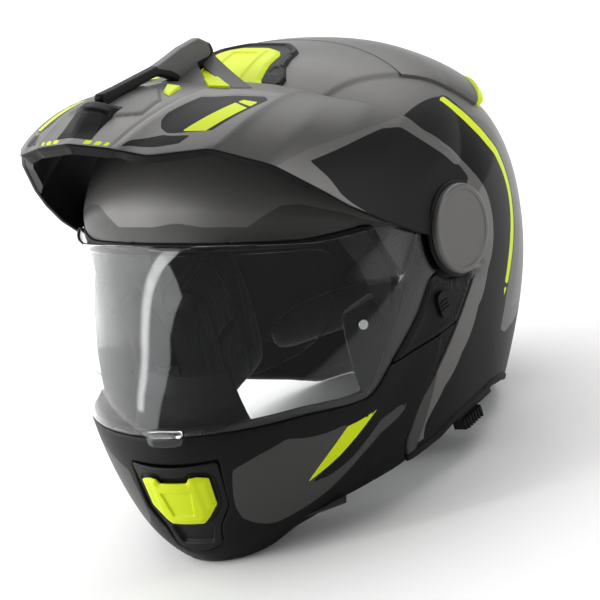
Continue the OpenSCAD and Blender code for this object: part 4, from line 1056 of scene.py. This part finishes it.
def peak_surface(s, u):
    """Point of the peak: s from the rear edge to the front one, u out from the middle. The line between the
    edges bulges by 4 s (1 - s) times a height that falls to the sides. Two creases fold the top beside the
    scoop, a fine groove runs beside the first, and the hood round the scoop stands up."""
    k = np.clip(np.abs(u), 0, PEAK_ENDS)
    e, b = averaged(PEAK_EDGE, k), averaged(PEAK_REAR, k)
    h = 4 * averaged(PEAK_BULGE, k) * s * (1 - s)
    out = k / PEAK_ENDS
    p = b * (1 - s)[..., None] + e * s[..., None]
    ends = ramp(s / 0.2) * ramp((1 - s) / 0.06)
    fold = (1.5 * np.exp(-((k - 1.35) / 0.2) ** 2) + 1.1 * np.exp(-((k - 3.12) / 0.12) ** 2)) * ends
    fold = fold - 0.7 * np.exp(-((k - along(PEAK_CREASE, s)) / 0.05) ** 2) * ends
    hood = 1.4 * ramp(outline_distance(PEAK_HOOD, s, k * PEAK_ACROSS) / 0.014)
    return np.stack([np.sign(u) * (p[..., 0] + h * out), p[..., 1] - h * 0.3 * (1 - out),
                     p[..., 2] + (h + fold + hood) * (1 - 0.6 * out)], -1)


def peak_up(s, u):
    """Unit vector out of the peak, from small steps along its two parameters."""
    a = peak_surface(np.clip(s + 0.03, 0, 1), u) - peak_surface(np.clip(s - 0.03, 0, 1), u)
    b = (peak_surface(s, np.clip(u + 0.1, -PEAK_ENDS, PEAK_ENDS))
         - peak_surface(s, np.clip(u - 0.1, -PEAK_ENDS, PEAK_ENDS)))
    return unit(np.cross(a, b))


def off_peak(s, u, h):
    """One point h above the peak."""
    s, u = np.array([s]), np.array([u])
    return (peak_surface(s, u) + h * peak_up(s, u))[0]


def quarter(outline):
    """An outline on the peak with a quarter of each u, so that it is about as far along as across."""
    return [[s, u * PEAK_ACROSS] for s, u in outline]


def on_the_peak(outline):
    """Field of an outline given as s and a quarter of u, the same on both sides."""
    return lambda p, uv: outline_distance(outline, uv[:, 0], np.abs(uv[:, 1]) * PEAK_ACROSS)


def between_corners(c, a, b):
    """Straight lines over four corners: b runs along each pair of them, a from the first pair to the next."""
    a, b = a[..., None], b[..., None]
    return (c[0] * (1 - b) + c[1] * b) * (1 - a) + (c[2] * (1 - b) + c[3] * b) * a


def leaf(corners, sag, thick, tag):
    """Sheet over four corners, near the spine first, with its middle let in by sag times a sine."""
    a, b = lattice((0, 1, 14), (0, 1, 20))
    q = between_corners(np.array(corners, float), a, b)
    q = q + np.sin(np.pi * a[..., None]) * np.array([-sag, 0, -0.6 * sag])
    n = unit(np.cross(np.gradient(q, axis=0), np.gradient(q, axis=1)))
    return facing_out(slab(q, q - n * thick * np.sign(n[..., :1].mean()), tag))


class HELMET_OT_peak(bpy.types.Operator):
    """Peak with its paint, the tray under its front edge, the fin, its webs and the inserts"""
    bl_idname = "helmet.peak"
    bl_label = "Peak"

    def execute(self, context):
        lk = look()
        top = Sheet(peak_surface, np.linspace(0.004, 0.996, 66), np.linspace(-PEAK_ENDS, PEAK_ENDS, 501))
        # The lighter panels on the peak's front and along its crease are painted highlight, and the darker
        # flank and hood are painted shade
        graphics = [(quarter(PEAK_FLANK), GREY_STRIPE_AND_PAINTED_SHADE), (quarter(PEAK_FRONT), PAINTED_HIGHLIGHT), (quarter(PEAK_BAND), PAINTED_HIGHLIGHT),
                    (PEAK_HOOD, GREY_STRIPE_AND_PAINTED_SHADE), (rounded(quarter(PEAK_INSERT), 0.012), BLACK),
                    (quarter(PEAK_BAR), NEON), (quarter(PEAK_BAR_END), NEON), (quarter(PEAK_STRIPE), BLACK),
                    (quarter(PEAK_ARM), BLACK)] + [(quarter(tick), NEON) for tick in PEAK_TICKS]
        for outline, tag in graphics:
            top.paint(on_the_peak(outline), tag)
        points, faces = walled(top, PEAK_OUT - PEAK_IN, 0.7, toward=(0, -40, 0), inner_tag=BLACK)
        faces[2:] = [tagged(rim, BLACK) for rim, _ in faces[2:]]
        profile = [[PIVOT_BORE, PEAK_IN], [PEAK_DISC - 0.7, PEAK_IN], [PEAK_DISC, PEAK_IN + 0.7],
                   [PEAK_DISC, PEAK_OUT - 0.9], [PEAK_DISC - 0.3, PEAK_OUT - 0.3],
                   [PEAK_DISC - 0.9, PEAK_OUT], [PIVOT_BORE, PEAK_OUT]]
        disc = facing_out(turned(profile, BLACK))
        body = joined((points, faces), disc, mirrored(disc))
        piece("peak_skin", body, paints(lk), "peak", "peak", sharp=60)
        self.tray(lk)
        self.fin(lk)
        self.tabs(lk)
        return {"FINISHED"}

    def tray(self, lk):
        """Black lining under the peak's front, which grows thicker to the front edge and thin at its sides."""
        start, half = 0.4, 5.14
        s, u = lattice((start, 0.998, 40), (-half, half, 161))
        base, up = peak_surface(s, u), peak_up(s, u)
        side = ramp((half - np.abs(u)) / 0.5)
        deep = 2.75 + (1.45 + 3.9 * (s - start) / (1 - start)) * (0.25 + 0.75 * side)
        piece("peak_lining", slab(base - up * 2.7, base - up * deep[..., None]), [plastic(lk)], "peak",
              "peak_tray", sharp=40)

    def tabs(self, lk):
        """Two pads over four corners on the peak, each with its own height, rounded off to their edges by a
        ramp."""
        a, b = lattice((0, 1, 12), (0, 1, 12))
        corners = np.array([[0.42, 0.72, 0.6], [0.46, 1.0, 0.6], [0.33, 0.5, 3.0], [0.32, 0.85, 2.2]])
        s, u, h = np.moveaxis(between_corners(corners, a, b), -1, 0)
        base, up = peak_surface(s, u), peak_up(s, u)
        rise = h * ramp(np.minimum(np.minimum(a, 1 - a), np.minimum(b, 1 - b)) / 0.12)
        pad = facing_out(slab(base + up * (0.4 + rise)[..., None], base - up * 0.6))
        piece("peak_tabs", joined(pad, mirrored(pad)), [vivid(lk)], "peak", "peak_inserts",
              sharp=40)

    def fin(self, lk):
        """The spine is a flat sheet with a window. Each leg and wedge is a sheet between two lines, one near
        the spine and one on the peak, let in towards the middle by a sine of its height. The scoop in front
        is the peak's surface raised by a root across it and two ramps along it."""
        thick, edge = 6.6, 1.6
        blade = rounded([[-139, 149], [-138.5, 165], [-119.9, 160.8], [-78, 152.4], [-66.5, 151.2],
                         [-48.6, 150], [-29.8, 146.6], [-20.5, 138], [-19.5, 131.5], [-26, 127.5],
                         [-38.8, 127.6], [-44, 116], [-75, 118], [-96, 128]], 1.2)
        window = rounded([[-127, 155], [-78.6, 146.3], [-67, 138.2], [-62.5, 133], [-62, 127],
                          [-119, 141]], 1.5)
        bar = [[-160, 175], [-160, 130], [-62, 120], [-57.5, 129], [-60, 137.2], [-66, 143.2], [-78, 151],
               [-74, 153.5]]
        rear = [[-24, 143], [-23.4, 134], [-26.5, 132.2], [-39.5, 135], [-39.5, 128], [-42, 120], [-5, 120],
                [-5, 143]]
        # The spine's sides are painted in the grey let down to 0.74 as painted shade; the bar and the rear end
        # are black
        sheet = Sheet(lambda y, z: np.stack([np.full_like(y, thick / 2), y, z], -1),
                      np.linspace(-141, -17, 125), np.linspace(112, 168, 57), GREY_STRIPE_AND_PAINTED_SHADE)
        sheet.keep(on_the_lattice(blade, -edge))
        sheet.drop(on_the_lattice(window, edge))
        sheet.paint(on_the_lattice(bar), BLACK)
        sheet.paint(on_the_lattice(rear), BLACK)
        spine = walled(sheet, thick, edge, toward=(0, -70, 140), curl=4)

        # The front leg is painted in the same painted shade as the spine
        leg = leaf([[3.4, -61, 135], [3.4, -39.5, 133],
                    off_peak(0.42, 1.12, -0.6), off_peak(0.25, 1.5, -0.6)], 1.8, 2.0, GREY_STRIPE_AND_PAINTED_SHADE)
        rear_leg = leaf([[3.4, -35, 131], [3.4, -22.5, 132],
                         off_peak(0.2, 1.62, 0.2), off_peak(0.14, 2.0, 0.2)], 0.8, 1.8, DARK)
        wedge = leaf([[3.2, -39, 128], [3.4, -32, 128.5],
                      off_peak(0.27, 1.36, 1.4), off_peak(0.2, 1.62, 1.4)], 0.4, 1.6, NEON)
        parts = [leg, rear_leg, wedge]
        s, u = lattice((0.66, 0.95, 40), (-0.5, 0.5, 31))
        rise = 5.5 * ramp((s - 0.67) / 0.05) * ramp((0.95 - s) / 0.2) * (1 - np.abs(u / 0.5) ** 2.5) ** 0.6
        base, up = peak_surface(s, u), peak_up(s, u)
        scoop = facing_out(slab(base + up * (0.3 + rise)[..., None], base - up * 0.8, BLACK))
        body = joined(spine, scoop, *parts, *map(mirrored, parts))
        piece("peak_spine", body, paints(lk), "peak", "peak_fin", sharp=38)


class HELMET_OT_crown_vent(bpy.types.Operator):
    """Crown vent: the base let down onto the shell and the sliding cover"""
    bl_idname = "helmet.crown_vent"
    bl_label = "Crown vent"

    def execute(self, context):
        lk = look()
        lid = [[73.5, -9], [73.5, 11.8], [77.7, 12.2], [81.4, 10.2], [89.8, 8.8], [97.4, 8.2], [100.9, 6.4],
               [103.4, 3], [103.4, -9]]
        seat = [[70.5, -9], [71, 13.5], [76, 16.8], [84.4, 16.6], [91.2, 13.2], [103.9, 10.6], [110.5, 5],
                [110.5, -9]]

        def lid_out(phi, t):
            """Lid that rises 1.3 mm within 1.6 degrees of its edge, with a raised middle and a hollow at the
            back."""
            off = np.abs(t)
            middle = 0.8 * ramp((5.4 - off - 0.05 * (phi - 74)) / 0.5) * ramp((99.5 - phi) / 0.8)
            dip = 0.9 * ramp((2.6 - off) / 0.4) * ramp((phi - 88) / 0.5) * ramp((97 - phi) / 0.5)
            return 2.9 + 1.3 * ramp(outline_distance(lid, phi, off) / 1.6) + middle - dip

        def seat_out(phi, t):
            """Seat that rises 3.6 mm within a degree of its edge and falls 1.4 mm inside that border, with
            fingers on both flanks."""
            d = outline_distance(seat, phi, np.abs(t))
            fingers = 0.7 * ramp((np.sin(np.radians((phi - 76) * 38)) - 0.1) / 0.35) * ramp(np.abs(t) - 9.6)
            return 0.4 + 3.6 * ramp(d) - 1.4 * ramp((d - 1.7) / 0.8) - fingers * ramp(d / 1.2)

        cover = Sheet(outer_skin(lid_out), np.linspace(73, 104, 125), np.linspace(-13, 13, 131), NEON)
        cover.keep(grown(on_the_skin(lid), -0.35))
        piece("crown_vent_lid", walled(cover, 2.6, 0.7), [vivid(lk)], "crown_vent_cover", "crown_vent_cover")
        base = Sheet(outer_skin(seat_out), np.linspace(70, 111, 165), np.linspace(-17.5, 17.5, 141), BLACK)
        base.keep(grown(on_the_skin(seat), -0.3))
        piece("crown_vent_seat", walled(base, 5.0, 0.6), [plastic(lk)], "shell", "crown_vent_base")
        return {"FINISHED"}


def hollow_wall(d, az, z):
    """Point of the upright wall of the head's hollow, an ellipse: az round from the front, d in from it."""
    a = np.radians(az)
    return np.stack([(HOLLOW_HALF - d) * np.sin(a), HOLLOW_Y - (HOLLOW_LONG - d) * np.cos(a),
                     np.broadcast_to(z, np.shape(a))], -1)


def hollow_dome(d, az, el):
    """Point of the domed top of the head's hollow, an ellipsoid moved out by d, at az round and el up."""
    a, e = np.radians(az), np.radians(el)
    return np.stack([(HOLLOW_HALF + d) * np.sin(a) * np.cos(e),
                     HOLLOW_Y - (HOLLOW_LONG + d) * np.cos(a) * np.cos(e),
                     HOLLOW_Z + (HOLLOW_HIGH + d) * np.sin(e)], -1)


class HELMET_OT_lining(bpy.types.Operator):
    """Crown pad, cheek pads, neck roll and chin curtain"""
    bl_idname = "helmet.lining"
    bl_label = "Lining"

    def execute(self, context):
        knit = woven("black_knit_lining", (0.018, 0.018, 0.019), 0.0011, sheen=0.2)
        brushed = woven("brushed_lining", (0.024, 0.024, 0.025), 0.0016, depth=0.4, sheen=0.6)
        self.crown(brushed)
        self.cheeks(knit)
        self.neck(brushed)
        self.curtain(knit)
        return {"FINISHED"}

    def crown(self, cloth):
        """Dome puffed by a root of powers to its edges and by a root of a sine between its seams, with a
        stitched line round it and small wrinkles."""
        u, v = lattice((0, 1, 60), (0, 1, 160))
        az, el = 18 + 324 * v, 24 + 62 * u
        puff = ((1 - np.abs(2 * u - 1) ** 6) ** 0.5 * (1 - np.abs(2 * v - 1) ** 8) ** 0.5
                * (0.62 + 0.38 * np.abs(np.sin(np.radians(720 * v))) ** 0.5))
        puff = puff * (1 - 0.22 * np.exp(-((u - 0.52) / 0.03) ** 2))
        wrinkle = 0.25 * np.sin(60 * v + 9 * u) * np.sin(23 * u + 4) * puff
        body = slab(hollow_dome(-0.3, az, el), hollow_dome(-1.8 - 7.2 * puff - wrinkle, az, el))
        piece("crown_cushion", body, [cloth], "shell", "crown_pad", sharp=60)

    def cheeks(self, cloth):
        """Pads on the upright wall, puffed by a power of u and v to their edges, with two seams up and one
        across."""
        u, v = lattice((-1, 1, 72), (-1, 1, 56))
        az, z = 77.5 + u * (1 - 0.06 * v * v) * 30.5, -71 + v * (1 - 0.06 * u * u) * 43
        puff = np.maximum(1 - np.abs(u) ** 5, 0) ** 0.45 * np.maximum(1 - np.abs(v) ** 5, 0) ** 0.45
        seam = (1 - 0.16 * np.exp(-((np.abs(u) - 0.42) / 0.035) ** 2)
                - 0.14 * np.exp(-((v - 0.1) / 0.04) ** 2) * (np.abs(u) < 0.42))
        wrinkle = 0.35 * np.sin(31 * u + 7 * v) * np.sin(17 * v + 2) * puff
        left = facing_out(slab(hollow_wall(0.3, az, z), hollow_wall(2 + 22 * puff * seam + wrinkle, az, z)))
        for side, body in (("left", left), ("right", mirrored(left))):
            piece("cheek_cushion_" + side, body, [cloth], "shell", "cheek_pad_" + side,
                            sharp=70)

    def neck(self, cloth):
        """Roll along the nape: ellipses that shrink to both ends by a root of a power, with ripples away from
        the wall."""
        half = 66
        a, b = lattice((-half, half, 110), (0, 345, 24))
        c, s = np.cos(np.radians(b)), np.sin(np.radians(b))
        swell = 0.35 + 0.65 * np.maximum(1 - (np.abs(a) / half) ** 6, 0) ** 0.5
        ripple = 1 + 0.03 * np.sin(np.radians(a * 14)) * (c < 0.4)
        rings = hollow_wall(0.3 + 8 * (1 - swell * ripple * c), 180 + a, -102 + 13 * swell * s)
        piece("neck_cushion", stacked(rings), [cloth], "shell", "neck_roll")

    def curtain(self, cloth):
        """Sheet from inside the chin bar's rim back towards the throat, narrower and deeper by a cosine as u
        grows."""
        u, t = lattice((0, 1, 24), (-41.5, 41.5, 90))
        rim = outer_skin(-4.6)(np.full_like(t, -40.5), t)
        p = np.stack([rim[..., 0] * (1 - 0.26 * u), rim[..., 1] + (30 + 14 * np.cos(np.radians(1.4 * t))) * u,
                      -125 + 5 * np.sin(np.radians(90 * u)) + 1.6 * u * np.cos(np.radians(9 * t))], -1)
        sheet = piece("wind_curtain", slab(p, p - [0, 0, 1.2]), [cloth], "chin_bar", "chin_curtain",
                      sharp=60)


def ribbon(path, width, thick, y):
    """A band whose middle line is a smooth curve through points given as X and Z. Its section, an oblong with
    rounded corners, is carried along the curve at right angles to it."""
    p = np.asarray(path, float)
    k = np.concatenate([[0], np.cumsum(np.linalg.norm(np.diff(p, axis=0), axis=1))])
    s = np.linspace(0, k[-1], max(int(k[-1] / 1.5), 12))
    x, z = through(np.stack([k, p[:, 0]], 1), s), through(np.stack([k, p[:, 1]], 1), s)
    n = unit(np.stack([-np.gradient(z), np.gradient(x)], -1))
    w, h = width / 2, thick / 2
    section = rounded([[-w, -h], [w, -h], [w, h], [-w, h]], h * 0.9, 3)
    rings = [np.stack([np.full(len(section), a) + b[0] * section[:, 1], y + section[:, 0],
                       np.full(len(section), c) + b[1] * section[:, 1]], -1) for a, c, b in zip(x, z, n)]
    return stacked(rings)


class HELMET_OT_strap(bpy.types.Operator):
    """Chin strap, the two bands that run from the anchors into the buckle"""
    bl_idname = "helmet.strap"
    bl_label = "Chin strap"

    def execute(self, context):
        web = woven("strap_webbing", (0.016, 0.016, 0.017), 0.0016, rough=0.6, depth=0.9, sheen=0.2)
        tilt = math.radians(12)

        def in_buckle(e):
            """Point of the buckle's tilted middle line, e to the left of its centre."""
            return [34 + e * math.cos(tilt), -128 + e * math.sin(tilt)]

        side = [[100.3, -86], [100.1, -101], [96.5, -108], [89, -114.5], [77, -119]]
        left = side + [[62, -122], in_buckle(15), in_buckle(4)]
        right = [[-x, z] for x, z in side] + [[-60, -124], [-32, -130.5], [0, -134.3], in_buckle(-15),
                                              in_buckle(-4)]
        for name, path in (("left", left), ("right", right)):
            piece("chin_band_" + name, ribbon(path, 22, 2, -26), [web], "shell", "strap_" + name,
                  sharp=60)
        return {"FINISHED"}


class HELMET_OT_hardware(bpy.types.Operator):
    """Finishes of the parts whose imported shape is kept"""
    bl_idname = "helmet.hardware"
    bl_label = "Hardware finishes"

    def execute(self, context):
        lk = look()
        steel = finish("brushed_steel", (0.45, 0.46, 0.47), 0.32, 1.0, grain=0.15, grain_scale=1500.0)
        chrome = finish("chrome_pin", (0.42, 0.43, 0.44), 0.22, 1.0, shade=0.02)
        black, rubber = plastic(lk), soft_black()
        disc = finish("disc_titanium_paint", np.array(lk.grey) * 0.95, 0.42, 0.4, grain=0.06,
                      grain_scale=2600.0, shade=0.04, shade_scale=14.0)
        foam = finish("black_bead_foam", (0.016, 0.016, 0.017), 0.85, grain=0.8, grain_scale=260.0,
                      cells=True)
        mesh = finish("dark_grille_plastic", (0.008, 0.008, 0.008), 0.5, grain=0.2, grain_scale=1500.0)
        red = finish("red_moulded_plastic", lk.red, 0.42, grain=0.12, grain_scale=1600.0, shade=0.05)
        smoke = see_through("smoke_visor_plastic", (0.16, 0.16, 0.18), 0.01)
        worn = {
            "pivot_pins": steel, "pivot_cover_left": disc, "pivot_cover_right": disc, "sun_visor": smoke,
            "sun_visor_pins": black, "sun_visor_lever": rubber, "lever_guide": black, "strap_anchors": steel,
            "buckle_body": black, "buckle_lever": red, "latch_strikers": steel, "chin_hubs": steel,
            "lock_slider": black, "chin_vent_grille": mesh, "chin_foam": foam, "foam_liner": foam,
            "breath_guard": rubber, "latch_pins": steel, "latch_hooks": steel, "release_housing": black,
            "release_button": red, "shield_hubs": black, "shield_pins": chrome, "peak_hubs": black,
        }
        for node, material in worn.items():
            data = frame["nodes"][node].data
            data.materials.clear()
            data.materials.append(material)
        return {"FINISHED"}


class HELMET_OT_stage(bpy.types.Operator):
    """Pale floor, soft studio light and the camera"""
    bl_idname = "helmet.stage"
    bl_label = "Stage"

    def execute(self, context):
        scene = context.scene
        scene.view_settings.view_transform = "Standard"
        scene.view_settings.look = "None"
        pale = finish("pale_floor", (0.93, 0.93, 0.93), 0.9, shade=0.01, shade_scale=2.0)
        mesh = bpy.data.meshes.new("studio_floor")
        mesh.from_pydata([(-8, -8, 0), (8, -8, 0), (8, 8, 0), (-8, 8, 0)], [], [(0, 1, 2, 3)])
        mesh.materials.append(pale)
        floor = bpy.data.objects.new("studio_floor", mesh)
        scene.collection.objects.link(floor)

        world = bpy.data.worlds.new("studio")
        scene.world = world
        world.use_nodes = True
        backdrop = world.node_tree.nodes["Background"]
        backdrop.inputs["Color"].default_value = (1, 1, 1, 1)
        backdrop.inputs["Strength"].default_value = 0.3 * look().light

        # The camera looks along the photograph's line: right, up and back are its own axes in the frame
        right = Vector((0.8192, 0.5065, -0.2693)).normalized()
        back = Vector((0.5736, -0.7233, 0.3846)).normalized()
        up = back.cross(right).normalized()
        aim = Vector(PIVOT * MM) + right * 0.00885 - up * 0.0436
        data = bpy.data.cameras.new("view")
        data.type = "ORTHO"
        data.ortho_scale = PHOTO_PX / PX_PER_M
        data.clip_end = 30
        camera = bpy.data.objects.new("view", data)
        turn = Matrix((right, up, back)).transposed().to_4x4()
        camera.matrix_world = Matrix.Translation(aim + back * 2.5) @ turn
        scene.collection.objects.link(camera)
        scene.camera = camera

        for name, place, width, height, power in (
                ("left_softbox", (-1.5, 0.3, -0.35), 2.5, 1.5, 40),
                ("left_strip", (-1.75, 0.3, 0.35), 0.16, 1.4, 6),
                ("right_softbox", (1.7, 0.5, 0.6), 0.6, 1.2, 12),
                ("top_softbox", (0.0, 2.1, -0.6), 3.0, 3.0, 62)):
            lamp = bpy.data.lights.new(name, "AREA")
            lamp.shape = "RECTANGLE"
            lamp.size, lamp.size_y = width, height
            lamp.energy = power * look().light
            softbox = bpy.data.objects.new(name, lamp)
            where = aim + right * place[0] + up * place[1] + back * place[2]
            facing = (where - aim).normalized().to_track_quat("Z", "Y").to_matrix().to_4x4()
            softbox.matrix_world = Matrix.Translation(where) @ facing
            scene.collection.objects.link(softbox)
        return {"FINISHED"}


class HELMET_PT_pieces(bpy.types.Panel):
    """Lists the helmet's sizes, colours and pieces"""
    bl_idname = "HELMET_PT_pieces"
    bl_label = "Helmet"
    bl_space_type = "VIEW_3D"
    bl_region_type = "UI"
    bl_category = "Helmet"

    def draw(self, context):
        settings = context.scene.helmet_look
        for prop in ("grey", "black", "neon", "red", "shell_wall", "edge_round", "grid", "light"):
            self.layout.prop(settings, prop)
        for operator in OPERATORS:
            self.layout.operator(operator.bl_idname)


OPERATORS = (HELMET_OT_stage, HELMET_OT_shell, HELMET_OT_eye_port, HELMET_OT_chin_bar, HELMET_OT_chin_vent,
             HELMET_OT_face_shield, HELMET_OT_peak, HELMET_OT_crown_vent, HELMET_OT_lining, HELMET_OT_strap,
             HELMET_OT_hardware)


def register():
    for cls in (HelmetLook, *OPERATORS, HELMET_PT_pieces):
        bpy.utils.register_class(cls)
    bpy.types.Scene.helmet_look = bpy.props.PointerProperty(type=HelmetLook)


def unregister():
    del bpy.types.Scene.helmet_look
    for cls in (HELMET_PT_pieces, *reversed(OPERATORS), HelmetLook):
        bpy.utils.unregister_class(cls)


def main():
    """Build everything in order."""
    register()
    for operator in OPERATORS:
        group, name = operator.bl_idname.split(".")
        getattr(getattr(bpy.ops, group), name)()
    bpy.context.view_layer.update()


if __name__ == "__main__":
    main()
